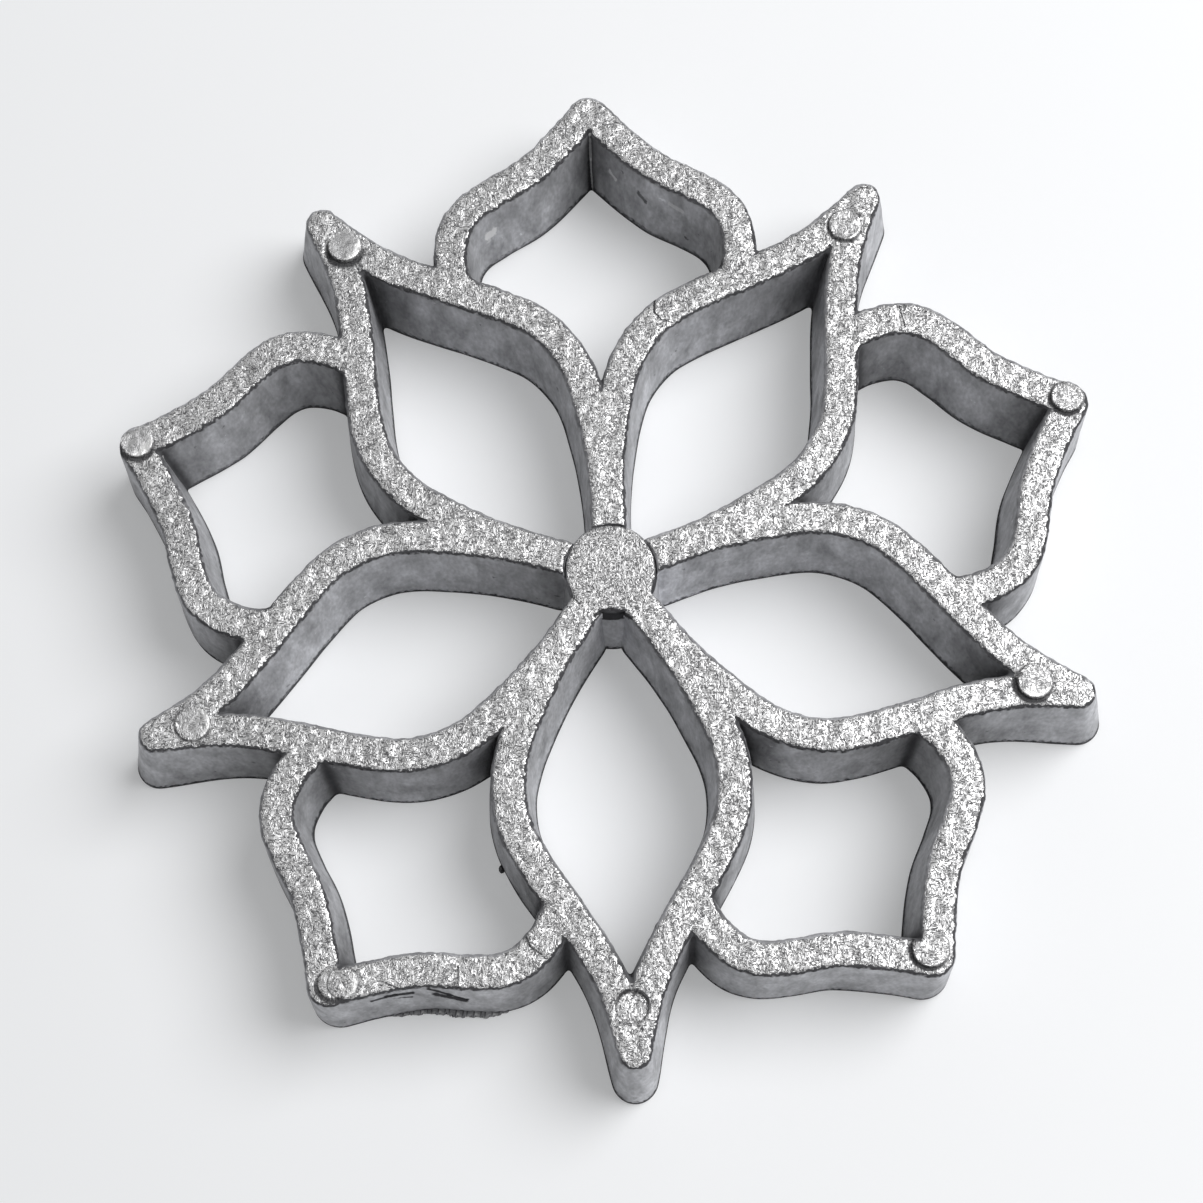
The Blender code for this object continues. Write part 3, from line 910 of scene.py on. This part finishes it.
def coordinates(mesh):
    flat = np.empty(len(mesh.vertices) * 3, np.float32)
    mesh.vertices.foreach_get("co", flat)
    return flat.reshape(-1, 3).astype(float)


def on_plane(places):
    """The places' x and y as complex numbers."""
    return places[:, 0] + 1j * places[:, 1]


def smooth_step(value, low, high):
    share = np.clip((value - low) / (high - low), 0, 1)
    return share * share * (3 - 2 * share)


def mark_lift(size, marks, places):
    """How far each place of the batter face is raised or sunk by the ejector marks."""
    disc, raised, sunk, groove = np.zeros((4, len(places)))
    for centre, radius, height, *_ in mark_list(size, marks):
        away = abs(places - centre)
        cover = 1 - smooth_step(away, *(radius + edge for edge in MARK_WALL))
        disc = np.maximum(disc, cover)
        raised = np.maximum(raised, cover * height)
        sunk = np.minimum(sunk, cover * height)
        groove = np.maximum(groove, np.exp(-(((away - radius - GROOVE_PLACE) / GROOVE_WIDTH) ** 2)))
    return raised + sunk - groove * (1 - disc) * marks.groove


def mark_shade(size, marks, places):
    """Per place, the marks' painted shadow, or below 0 their painted bright rim, and how smooth the metal is
    worn.
    """
    shade, worn = np.zeros((2, len(places)))
    for centre, radius, height, shadow, turn, rim, rim_turn, smooth in reversed(mark_list(size, marks)):
        past = abs(places - centre) - radius
        angle = np.angle(places - centre)
        # Painted shadow: a dark line round the mark, widest on the side that its way names
        turned = np.cos(angle - math.radians(turn))
        width = 0.00003 + shadow * np.clip(turned + 0.25, 0, 1)
        line = smooth_step(past, -0.00011, -0.00003) * (1 - smooth_step(past, width, width + 0.00009))
        line *= np.clip(0.72 + 0.5 * turned, 0.3, 1) * np.clip(0.45 + shadow / 0.00025, 0, 1)
        # Painted highlight: a bright rim inside the mark's edge, on the side that the rim's way names
        reach = rim * np.clip(np.cos(angle - math.radians(rim_turn)) * 1.9 - 0.7, 0, 1)
        lit = smooth_step(past, -0.00016 - reach, -0.00008 - reach)
        lit *= 1 - smooth_step(past, -0.00013, -0.00006)
        lit *= np.clip(reach / 0.00012, 0, 1)
        over = 1 - smooth_step(past, -0.0003, -0.0001)
        shade *= 1 - over
        worn = worn * (1 - over) + smooth * over
        shade = np.where(line > abs(shade), line, shade)
        shade = np.where(lit > np.maximum(line, 0.05), -lit, shade)
    return shade, worn


def close_seams(size, boss, places):
    """Closes the groove and the seam round the boss at the two lower webs. Returns where they are flush."""
    plane = on_plane(places)
    radius = abs(plane)
    angle = np.degrees(np.arctan2(places[:, 0], places[:, 1])) % 360
    near = 1 - smooth_step(radius, *SEAT_ZONE)
    high = smooth_step(places[:, 2], *(size.height - depth for depth in SEAM_DEPTHS))
    low_webs = flush_share(angle)
    weight = near * np.maximum(1 - high, low_webs)
    target = boss.diameter / 2 + (size.height - places[:, 2]) * math.tan(size.draft) - 0.00003
    plane *= 1 + weight * (np.minimum(target, radius) / radius - 1)
    places[:, 0] = plane.real
    places[:, 1] = plane.imag
    lift = near * low_webs * (places[:, 2] > size.height - size.edge_round * 1.02)
    places[:, 2] += lift * (size.height - 0.00002 - places[:, 2])
    return near * low_webs * smooth_step(places[:, 2], size.height - 0.0008, size.height - 0.0004)


def flush_share(angle):
    """How far a direction, in degrees clockwise from +Y, lies over the webs that the boss meets flush."""
    from_foot = abs(angle - 180)
    return smooth_step(from_foot, *WEB_START) * (1 - smooth_step(from_foot, *WEB_END))


def raise_marks(size, marks, places):
    """Raises and sinks the ejector marks in the finished casting's points."""
    weight = smooth_step(places[:, 2], size.height - 2.2 * size.edge_round, size.height - size.edge_round)
    near = weight > 0
    places[near, 2] += mark_lift(size, marks, on_plane(places[near])) * weight[near]


def running_mean(values, count):
    return np.convolve(values, np.ones(count) / count, "same")[3 : STRIP_STEPS + 4]


def gate_strip(size, marks):
    """Mesh data of the ragged lip that the broken gate left on the rear rim of one petal."""
    random = np.random.default_rng(STRIP_SEED)
    foot = (size.height - size.edge_round) * math.tan(size.draft)
    rim = shifted(arch_side(size), -foot)
    start = marks.gate_from_tip - marks.gate_length / 2
    places = np.linspace(start, start + marks.gate_length, STRIP_STEPS + 1)
    line = np.interp(places, walk_of(rim), rim)
    outward = 1j * heading_of(line)
    share = np.linspace(0, 1, STRIP_STEPS + 1)
    rough = running_mean(random.uniform(-1, 1, STRIP_STEPS + 7), 3)
    swell = np.clip(np.sin(math.pi * share**1.3) ** 0.5 * (0.82 + 0.36 * rough), 0, 1)
    top_rough = running_mean(random.uniform(-1, 1, STRIP_STEPS + 7), 5)
    rise = 0.35 + 0.6 * np.sin(math.pi * share**1.5) + 0.35 * top_rough
    rise = marks.gate_thickness * np.clip(rise, 0.12, 1)
    points, faces = [], []
    for foot_place, way, bulge, top in zip(line, outward, swell, rise):
        out = way * marks.gate_standout * bulge
        inner = foot_place - way * size.wall / 3
        section = (
            (inner, 0.0),
            (foot_place + out * 0.9 - way * 0.0001, 0.0),
            (foot_place + out - way * 0.00008, top * 0.35),
            (foot_place + out * 0.65 - way * 0.0001, top * 0.8),
            (foot_place - way * 0.00025, top),
            (inner, top),
        )
        for place, height in section:
            turned = -np.conj(place) * clockwise(marks.gate_petal * math.tau / size.petals)
            points.append((turned.real, turned.imag, height))
    sides = len(section)
    for index in range(STRIP_STEPS):
        for corner in range(sides):
            low = index * sides + corner
            after = index * sides + (corner + 1) % sides
            faces.append((low, after, after + sides, low + sides))
    faces.append(tuple(range(sides)))
    faces.append(tuple(range(STRIP_STEPS * sides, (STRIP_STEPS + 1) * sides)))
    return points, faces


def add_remnants(work, size, marks):
    """Adds the gate strip and the lumps of metal to a mesh, painted dark as shade, with specks of painted
    glint.
    """
    way, painted_speck = (work.verts.layers.float[name] for name in ("edge_way", "painted_shade_and_highlight"))
    places, faces = gate_strip(size, marks)
    strip = [work.verts.new(place) for place in places]
    for index, point in enumerate(strip):
        column, corner = divmod(index, 6)
        point[way] = size.height
        # The strip is painted dark as shade, with specks of painted glint and shade along its outer face
        point[painted_speck] = 0.95
        if corner in (2, 3):
            point[painted_speck] = STRIP_SHADE_AND_GLINTS[(column * 7 + corner * 3) % len(STRIP_SHADE_AND_GLINTS)]
    for face in faces:
        work.faces.new([strip[corner] for corner in face])
    for x, y, height, radius in LUMPS:
        place = Matrix.Translation((x, y, height)) @ Matrix.Diagonal((0.8, 1.1, 1.0, 1.0))
        made = bmesh.ops.create_icosphere(work, subdivisions=2, radius=radius, matrix=place)
        for index, point in enumerate(made["verts"]):
            point.co.z = max(point.co.z + radius * 0.3 * math.sin(index * 2.4), 0.00001)
            # The lumps are painted dark as shade
            point[painted_speck] = 0.9


def finished(name, mesh, points, add=None):
    """The piece, with its points moved to these, its faces turned outwards and its sharp edges marked."""
    mesh.vertices.foreach_set("co", points.astype(np.float32).ravel())
    work = bmesh.new()
    work.from_mesh(mesh)
    if add:
        add(work)
    bmesh.ops.recalc_face_normals(work, faces=work.faces)
    work.to_mesh(mesh)
    work.free()
    mesh.set_sharp_from_angle(angle=SHARP_ANGLE)
    mesh.name = name
    return new_object(name, mesh)


class CASTING_OT_build(bpy.types.Operator):
    """Build the petal casting with its ejector marks and gate remnant"""

    bl_idname = "rosette_iron.build_casting"
    bl_label = "Build Casting"
    bl_options = {"REGISTER", "UNDO"}

    def execute(self, context):
        kit = context.scene.rosette_iron
        size, marks, metal = kit.casting, kit.marks, kit.metal
        borders = half_borders(size, kit.boss)
        source = new_object("casting_walls", half_walls(size, borders))
        closing = new_object("casting_faces", face_mesh(size, marks, borders))
        values = {
            "Faces": closing,
            "Petals": size.petals,
            "Height": size.height,
            "Edge round": size.edge_round,
            "Join distance": 2e-6,
            "Wave size": metal.wave_size,
            "Wave depth": metal.wave_depth,
            "Edge wear size": metal.edge_size,
            "Edge wear depth": metal.edge_depth,
            "Seed": metal.seed,
            "Material": metal_finish("cast_metal_finish", size, metal, *CASTING_FINISH),
        }
        mesh = shaped(source, "petal_casting_pattern", values, casting_pattern)
        bpy.data.objects.remove(closing)
        points = coordinates(mesh)
        raise_marks(size, marks, points)
        flush = close_seams(size, kit.boss, points)
        set_values(mesh, "edge_way", values_of(mesh, "edge_way") * (1 - flush))
        low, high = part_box("petal_casting")
        points = np.clip(points, np.array(low) + 2e-6, np.array(high) - 2e-6)
        shade, worn = mark_shade(size, marks, on_plane(points))
        set_values(mesh, "painted_shade_and_highlight", shade * (points[:, 2] > size.height - size.edge_round))
        set_values(mesh, "worn", worn)
        piece = finished("cast_petals", mesh, points, lambda work: add_remnants(work, size, marks))
        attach(piece, "root")
        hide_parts("petal_casting")
        return {"FINISHED"}


def polar_skin(profile, sides):
    """Mesh data of (radius, height) pairs turned round the axis. They may start and end on the axis."""
    places, faces, rings = [], [], []
    for radius, height in profile:
        count = 1 if radius == 0 else sides
        rings.append(range(len(places), len(places) + count))
        for side in range(count):
            angle = math.tau * side / sides
            places.append((radius * math.cos(angle), radius * math.sin(angle), height))
    for upper, lower in pairwise(rings):
        for side in range(sides):
            after = (side + 1) % sides
            corners = [upper[side % len(upper)], upper[after % len(upper)]]
            corners += [lower[after % len(lower)], lower[side % len(lower)]]
            faces.append(tuple(dict.fromkeys(corners)))
    return places, faces


def boss_profile(size, boss):
    """(radius, height) pairs of the boss, from the middle of its front face round to the tip of its hole."""
    top = size.height - boss.recess
    slope = math.tan(size.draft)

    def side(height):
        return boss.diameter / 2 + (size.height - height) * slope

    rim = boss.rim_round
    drill = boss.drill / 2
    flat = list(np.linspace(0, side(top) - rim, BOSS_RINGS))
    profile = [(radius, top) for radius in flat]
    turns = [math.pi / 2 * step / 5 for step in range(1, 6)]
    profile += [(side(top) - rim + rim * math.sin(turn), top - rim + rim * math.cos(turn)) for turn in turns]
    profile += [(side(height), height) for height in np.linspace(top - rim, REAR_CHAMFER, BOSS_RINGS)[1:]]
    profile += [(side(0) - REAR_CHAMFER, 0.0), (drill + 0.0005, 0.0)]
    rows = round((boss.thread_length - REAR_CHAMFER) / boss.thread_pitch * TURN_ROWS)
    profile += [(drill, height) for height in np.linspace(0.0005, boss.thread_length, rows)]
    profile += [(0, boss.thread_length + drill / math.tan(DRILL_POINT))]
    return profile


def thread_cut(given):
    """Cuts a thread into the points of a bore, a steady rise for each turn, and roughens the rest."""
    place = node("GeometryNodeInputPosition", tree=given["Geometry"].tree)
    across, up, height = parts_of(place)
    level = vectors("MULTIPLY", place, (1, 1, 0))
    phase = height / given["Pitch"] - maths("ARCTAN2", up, across) / math.tau
    tooth = maths("ABSOLUTE", phase - maths("FLOOR", phase) - 0.5) * 2.0
    start = ranged(height, 0.0004, 0.0009)
    end = ranged(height, given["Thread length"] - 0.0010, given["Thread length"], 1.0, 0.0)
    in_bore = maths("LESS_THAN", length_of(level), given["Bore radius"] + 0.00003)
    depth = tooth * (start * end) * (in_bore * given["Thread depth"])
    cut = scaled(vectors("NORMALIZE", level), depth)
    rough = wobble(place, given["Rough size"], given["Rough depth"], given["Seed"])
    rough = scaled(rough, larger(1.0 - in_bore, maths("GREATER_THAN", height, 0.008)))
    return node("GeometryNodeSetPosition", given["Geometry"], at={"Offset": vectors("ADD", cut, rough)})


class BOSS_OT_build(bpy.types.Operator):
    """Build the tapped boss in the middle of the webs"""

    bl_idname = "rosette_iron.build_boss"
    bl_label = "Build Boss"
    bl_options = {"REGISTER", "UNDO"}

    def execute(self, context):
        kit = context.scene.rosette_iron
        size, boss, metal = kit.casting, kit.boss, kit.metal
        plain = bpy.data.meshes.new("boss_blank")
        profile = boss_profile(size, boss)
        places, faces = polar_skin(profile, boss.sides)
        plain.from_pydata(places, [], faces)
        flat = max(radius for radius, height in profile if height == profile[0][1])
        ways = [math.hypot(x, y) - flat + size.height - boss.recess - z for x, y, z in places]
        set_values(plain, "edge_way", np.clip(ways, 0, None))
        source = new_object("boss_blank", plain)
        values = {
            "Bore radius": boss.drill / 2,
            "Thread length": boss.thread_length,
            "Pitch": boss.thread_pitch,
            "Thread depth": boss.thread_depth,
            "Rough size": 0.0012,
            "Rough depth": 0.00005,
            "Seed": metal.seed,
            "Material": metal_finish("boss_metal_finish", size, metal, *BOSS_FINISH),
        }
        mesh = shaped(source, "thread_cut", values, thread_cut)
        points = np.clip(coordinates(mesh), *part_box("centre_boss"))
        self.lean(size, boss, mesh, points)
        piece = finished("tapped_boss", mesh, points)
        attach(piece, "root")
        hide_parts("centre_boss")
        return {"FINISHED"}

    def lean(self, size, boss, mesh, points):
        """Tilts the boss's face, runs it flush into the two lower webs, and paints a shadow band at its rim's
        bottom.
        """
        radius = np.hypot(points[:, 0], points[:, 1])
        angle = np.arctan2(points[:, 0], points[:, 1])
        degrees = np.degrees(angle) % 360
        top = size.height - boss.recess
        high = smooth_step(points[:, 2], top - 0.0018, top - 0.0006)
        share = radius / (boss.diameter / 2)
        rise = boss.lean * (0.9 - share * np.cos(angle - math.radians(25))) / 2
        points[:, 2] += high * rise
        flat = boss.diameter / 2 - boss.rim_round * 1.2
        outer = smooth_step(radius, flat, flat + 0.00006)
        flush = flush_share(degrees) * outer * high
        on_rim = points[:, 2] > top + rise - boss.rim_round * 1.2
        points[:, 2] += flush * (top + rise - points[:, 2]) * on_rim
        # Painted shadow: a dark band along the bottom of the boss's rim
        arch = np.exp(-(((degrees - 177) / 20) ** 2)) * smooth_step(radius, flat - 0.0004, flat) * 0.00022
        ways = values_of(mesh, "edge_way") * (1 - flush) + arch * (points[:, 2] > top - 0.0006)
        set_values(mesh, "edge_way", ways)
        points[:, 1] += boss.shift * high * np.clip((np.cos(angle) + 0.2) / 1.2, 0, 1)


def new_material(name):
    """A material with only its shader and output, as (material, tree, shader)."""
    material = bpy.data.materials.new(name)
    material.use_nodes = True
    tree = material.node_tree
    return material, tree, tree.nodes["Principled BSDF"]


def blended(factor, first, second):
    return node("ShaderNodeMix", factor, None, first, second)


def mix_colour(factor, first, second, blend="MIX"):
    look = {"data_type": "RGBA", "blend_type": blend}
    return node("ShaderNodeMix", factor, *[None] * 5, first, second, out=2, **look)


def tinted(colour, tone):
    return mix_colour(1.0, colour, tone, "MULTIPLY")


def steps_of(value, stops):
    """A grey that follows a value through these stops."""
    grey = node("ShaderNodeValToRGB", value)
    ramp = grey.socket.node.color_ramp
    while len(ramp.elements) < len(stops):
        ramp.elements.new(0.5)
    for element, (place, tone) in zip(ramp.elements, stops):
        element.position = place
        element.color = (tone, tone, tone, 1)
    return grey


def strokes(place, cell, seed, upright):
    """Grain of the face from 0 to 1: bright curling strokes of painted glint, this share upright, beside dark
    hollows.
    """
    across, along = (
        noise(vectors("MULTIPLY", place, squeeze), cell, distortion=0.5, seed=seed + number)
        for number, squeeze in enumerate(((1, 2.4, 1), (2.4, 1, 1)))
    )
    turn = ranged(noise(place, cell * 1.2, seed=seed + 2), 0.96 - upright, 1.04 - upright, smooth=True)
    line = steps_of(blended(turn, across, along), STROKE_STOPS)
    return line + ranged(noise(place, cell * 0.7, seed=seed + 3), 0.32, 0.68, -0.10, 0.14)


def wear_or_shade_line(place, start, end, width, ragged):
    """1 on a line between two places in the metal, and 0 beside it."""
    along = Vector(end) - Vector(start)
    away = vectors("SUBTRACT", place, start)
    foot = scaled(along, ranged(along_way(away, along / along.length_squared), 0.0, 1.0))
    gap = length_of(vectors("MULTIPLY", vectors("SUBTRACT", away, foot), (1, 1, 0.35)))
    return ranged(gap + ragged * (width * 1.2), width * 0.7, width * 1.3, 1.0, 0.0, smooth=True)


def metal_finish(name, size, metal, upright, edge_shade_width, shade, wear_and_shade_marks):
    """The cast finish: grained batter face, painted shade round it, smooth walls, wear marks and painted
    light.
    """
    material, tree, shader = new_material(name)
    place = node("ShaderNodeTexCoord", tree=tree, out="Object")
    normal = node("ShaderNodeNewGeometry", tree=tree, out="Normal")
    across, up, height = parts_of(place)
    # The second attribute holds the marks' painted shadows and highlights, and the lumps' and strip's painted
    # shade
    way, ring, crease, worn = (
        node("ShaderNodeAttribute", tree=tree, out="Fac", attribute_name=held)
        for held in ("edge_way", "painted_shade_and_highlight", "crease", "worn")
    )
    ragged = noise(place, 0.00038, detail=1.0, seed=1.3) - 0.5
    way = way + ragged * 0.0006
    face = ranged(way, 0.00013, 0.00019, 1.0, 0.0, smooth=True)
    # Painted shade as a dark line round the face, fainter on walls that face the back or the left
    line = 1.0 - face - ranged(way, edge_shade_width, edge_shade_width + 0.00025, smooth=True)
    line = line * ranged(along_way(normal, BACK_WAY), -0.1, 0.4, 1.0, 0.25)
    to_left = along_way(normal, LEFT_WAY)
    line = line * ranged(to_left, 0.5, 0.9, 1.0, 0.4)
    # Painted shadow at the walls' foot, wider on walls facing the back, fainter on walls seen full on
    foot = (height + ragged * 0.0016) / ranged(parts_of(normal)[1], -0.9, 0.2, 1.0, 2.2)
    foot = ranged(foot, 0.0004, 0.0010, 1.0, 0.0, smooth=True)
    grazing = node("ShaderNodeLayerWeight", 0.5, tree=tree, out="Facing")
    foot = foot * ranged(grazing, 0.50, 0.70, 0.35, 1.0)
    # Painted shade in the inner corners where walls meet
    corner_shade = maths("POWER", crease, 36.0) * 0.85 * (1.0 - face)
    # All the painted shade: round the face, at the foot, in corners, and the marks' painted shadows
    line = larger(larger(larger(line, foot), corner_shade), ring) * 0.92
    grey = strokes(place, metal.grain_size, metal.seed, upright)
    grey = blended(worn, grey, ranged(grey, 0.0, 1.0, 0.36, 0.56))
    # Painted shade at the left of the boss and painted light at its right, and on walls that face these ways
    painted_hub_sides = ranged(across, -0.004, 0.004, 0.72, 1.5)
    painted_hub_light = ranged(length_of(vectors("MULTIPLY", place, (1, 1, 0))), 0.0036, 0.0085, painted_hub_sides, 1.0)
    painted_hub_light = painted_hub_light * ranged(to_left, 0.8, 1.0, 1.0, 0.84)
    painted_hub_light = painted_hub_light * ranged(along_way(normal, RIGHT_WAY), 0.8, 1.0, 1.0, 1.12)
    tone = ranged(noise(place, 0.007, detail=3.0, seed=2.1), 0.3, 0.7, 0.96 * shade, 1.05 * shade)
    # Painted light falloff: the face lighter towards the left and the front, darker to the right and back
    painted_light_falloff = ranged(across, -0.04, 0.04, 1.04, 0.93) * ranged(up, 0.0, 0.036, 1.0, 0.91)
    face_colour = tinted(mix_colour(grey, (*metal.face_dark, 1), (*metal.face_light, 1)), painted_light_falloff)
    # Skin of the walls, drawn out along their height
    tall = vectors("MULTIPLY", place, (1, 1, 0.4))
    blotch = noise(tall, 0.0017, detail=3.0, roughness=0.55, distortion=0.4, seed=4.2)
    skin = noise(tall, 0.00030, detail=1.0, seed=6.6)
    flecks = noise(vectors("MULTIPLY", place, (1, 1, 0.7)), 0.00085, detail=2.0, seed=8.8)
    bright = ranged(flecks, 0.70, 0.76, smooth=True)
    dark = ranged(flecks, 0.24, 0.30, 1.0, 0.0, smooth=True)
    # Painted shade: walls darker towards the rear rim, lighter towards the face
    wall_tone = ranged(blotch, 0.25, 0.75, 0.60, 1.46) * ranged(height, 0.0, size.height, 0.90, 1.14)
    wall_tone = wall_tone * ranged(skin, 0.3, 0.7, 0.86, 1.14) + bright * 0.45 - dark * 0.5
    # Painted shade and light near the boss, and painted shade in the inner corners
    wall_tone = wall_tone * painted_hub_light * ranged(crease, 0.0, 1.0, 1.0, 0.52)
    colour = mix_colour(face, tinted((*metal.wall_colour, 1), wall_tone), face_colour)
    # Painted shade and shadow laid on in their dark colour
    colour = tinted(mix_colour(line, colour, (*metal.shade_and_crack_colour, 1)), tone)
    # Painted highlight: the marks' bright rims and the glints on the gate strip
    colour = mix_colour(ranged(ring * -1.0, 0.0, 1.0), colour, (0.98, 0.98, 0.98, 1))
    # Cracks and marks of wear, with painted shade in a corner and painted shadow under the boss
    for start, end, width, depth in wear_and_shade_marks:
        cut = wear_or_shade_line(place, start, end, width, ragged) * abs(depth)
        colour = mix_colour(cut, colour, (*(metal.face_light if depth > 0 else metal.shade_and_crack_colour), 1))
        line = larger(line, cut) if depth < 0 else line * (1.0 - cut)
    rough = blended(face, ranged(blotch, 0.3, 0.7, 0.62, 0.48), ranged(grey, 0.0, 1.0, 0.62, 0.38))
    bare = 1.0 - line
    wall_relief = blotch * 0.00008 - dark * 0.00004 + bright * 0.00003 + skin * 0.00001
    relief = blended(face, wall_relief, grey * metal.grain_depth)
    looks = {
        "Base Color": colour,
        "Roughness": blended(line, rough, 1.0),
        "Metallic": blended(face, 0.35, 0.75) * bare,
        "Specular IOR Level": bare * 0.5,
        "Normal": node("ShaderNodeBump", at={"Strength": 1.0, "Distance": 1.0, "Height": relief}),
    }
    for held, value in looks.items():
        join(shader.inputs[held], value)
    return material


def floor_material(stage):
    """Pale floor, a little mottled, that shows as near white to the camera and in the metal."""
    material, tree, shader = new_material("floor_paint")
    place = node("ShaderNodeTexCoord", tree=tree, out="Object")
    mottle = ranged(noise(place, 0.06, detail=2.0, seed=0.4), 0.3, 0.7, 0.985, 1.0)
    paint = tinted((*stage.floor_colour, 1), mottle)
    for held, value in {"Base Color": paint, "Roughness": 0.6, "Specular IOR Level": 0.2}.items():
        join(shader.inputs[held], value)
    # Painted light: the floor's glow lighter towards the right, where the key lamp stands
    slope = ranged(parts_of(place)[0], -0.07, 0.07, 0.86, 1.04)
    glow = node("ShaderNodeEmission", tinted((0.985, 0.995, 1.0, 1), slope), 1.0)
    rays = node("ShaderNodeLightPath", tree=tree).socket.node.outputs
    seen, mirrored, through = (Wire(rays[f"Is {kind} Ray"]) for kind in ("Camera", "Glossy", "Transmission"))
    share = larger(larger(seen, mirrored), through) * stage.floor_glow
    both = node("ShaderNodeMixShader", share, Wire(shader.outputs[0]), glow)
    join(tree.nodes["Material Output"].inputs["Surface"], both)
    return material


class STAGE_OT_build(bpy.types.Operator):
    """Build the floor, the soft light and the camera"""

    bl_idname = "rosette_iron.build_stage"
    bl_label = "Build Stage"
    bl_options = {"REGISTER", "UNDO"}

    def execute(self, context):
        kit = context.scene.rosette_iron
        stage = kit.stage
        mesh = bpy.data.meshes.new("floor")
        ring = [stage.floor_radius * clockwise(math.tau * side / FLOOR_SIDES) for side in range(FLOOR_SIDES)]
        mesh.from_pydata([(p.real, p.imag, 0.0) for p in ring], [], [tuple(reversed(range(FLOOR_SIDES)))])
        mesh.materials.append(floor_material(stage))
        new_object("floor", mesh)
        self.light(context.scene, stage)
        self.camera(context.scene, kit.casting, stage)
        return {"FINISHED"}

    def light(self, scene, stage):
        lamp = bpy.data.lights.new("key_lamp", "AREA")
        lamp.shape = "DISK"
        lamp.size = 0.48
        lamp.energy = stage.key_power
        key = new_object("key_lamp", lamp)
        key.location = (0.32, 0.115, 0.516)
        key.rotation_euler = (-key.location).to_track_quat("-Z", "Y").to_euler()
        world = bpy.data.worlds.new("studio")
        world.use_nodes = True
        tree = world.node_tree
        sky = tree.nodes["Background"]
        join(sky.inputs["Color"], (1, 1, 1, 1))
        join(sky.inputs["Strength"], stage.sky)
        seen = node("ShaderNodeBackground", (0.93, 0.935, 0.95, 1), 1.0, tree=tree)
        camera_ray = node("ShaderNodeLightPath", tree=tree, out="Is Camera Ray")
        both = node("ShaderNodeMixShader", camera_ray, Wire(sky.outputs[0]), seen)
        join(tree.nodes["World Output"].inputs["Surface"], both)
        scene.world = world
        scene.view_settings.view_transform = "Standard"

    def camera(self, scene, size, stage):
        lens = bpy.data.cameras.new("camera")
        lens.sensor_width = 36.0
        lens.lens = stage.focal_length
        lens.clip_start = 0.01
        lens.clip_end = 20.0
        tilt = stage.tilt
        turn = Matrix.Rotation(tilt[0], 4, "X") @ Matrix.Rotation(tilt[1], 4, "Y")
        turn = turn @ Matrix.Rotation(tilt[2], 4, "Z")
        seen = Matrix.Translation((stage.framing[0], stage.framing[1], -stage.distance)) @ turn
        camera = new_object("camera", lens)
        camera.matrix_world = Matrix.Translation((0, 0, size.height)) @ seen.inverted()
        scene.camera = camera


class VIEW3D_PT_rosette_iron(bpy.types.Panel):
    """Sizes, finish and builders of the rosette iron's head"""

    bl_label = "Rosette Iron"
    bl_idname = "VIEW3D_PT_rosette_iron"
    bl_space_type = "VIEW_3D"
    bl_region_type = "UI"
    bl_category = "Rosette Iron"

    def draw(self, context):
        kit = context.scene.rosette_iron
        for title, group, builder in (
            ("Casting", kit.casting, CASTING_OT_build.bl_idname),
            ("Marks and gate", kit.marks, None),
            ("Boss", kit.boss, BOSS_OT_build.bl_idname),
            ("Metal", kit.metal, None),
            ("Stage", kit.stage, STAGE_OT_build.bl_idname),
        ):
            box = self.layout.box()
            box.label(text=title)
            for name in group.__annotations__:
                box.prop(group, name)
            if builder:
                box.operator(builder)


CLASSES = (
    CastingSizes,
    MarkSizes,
    BossSizes,
    MetalFinish,
    StageSizes,
    RosetteIron,
    CASTING_OT_build,
    BOSS_OT_build,
    STAGE_OT_build,
    VIEW3D_PT_rosette_iron,
)


def register():
    for item in CLASSES:
        bpy.utils.register_class(item)
    bpy.types.Scene.rosette_iron = PointerProperty(type=RosetteIron)


def unregister():
    del bpy.types.Scene.rosette_iron
    for item in reversed(CLASSES):
        bpy.utils.unregister_class(item)


def main():
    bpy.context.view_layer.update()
    register()
    bpy.ops.rosette_iron.build_casting()
    bpy.ops.rosette_iron.build_boss()
    bpy.ops.rosette_iron.build_stage()
    bpy.context.view_layer.update()


if __name__ == "__main__":
    main()
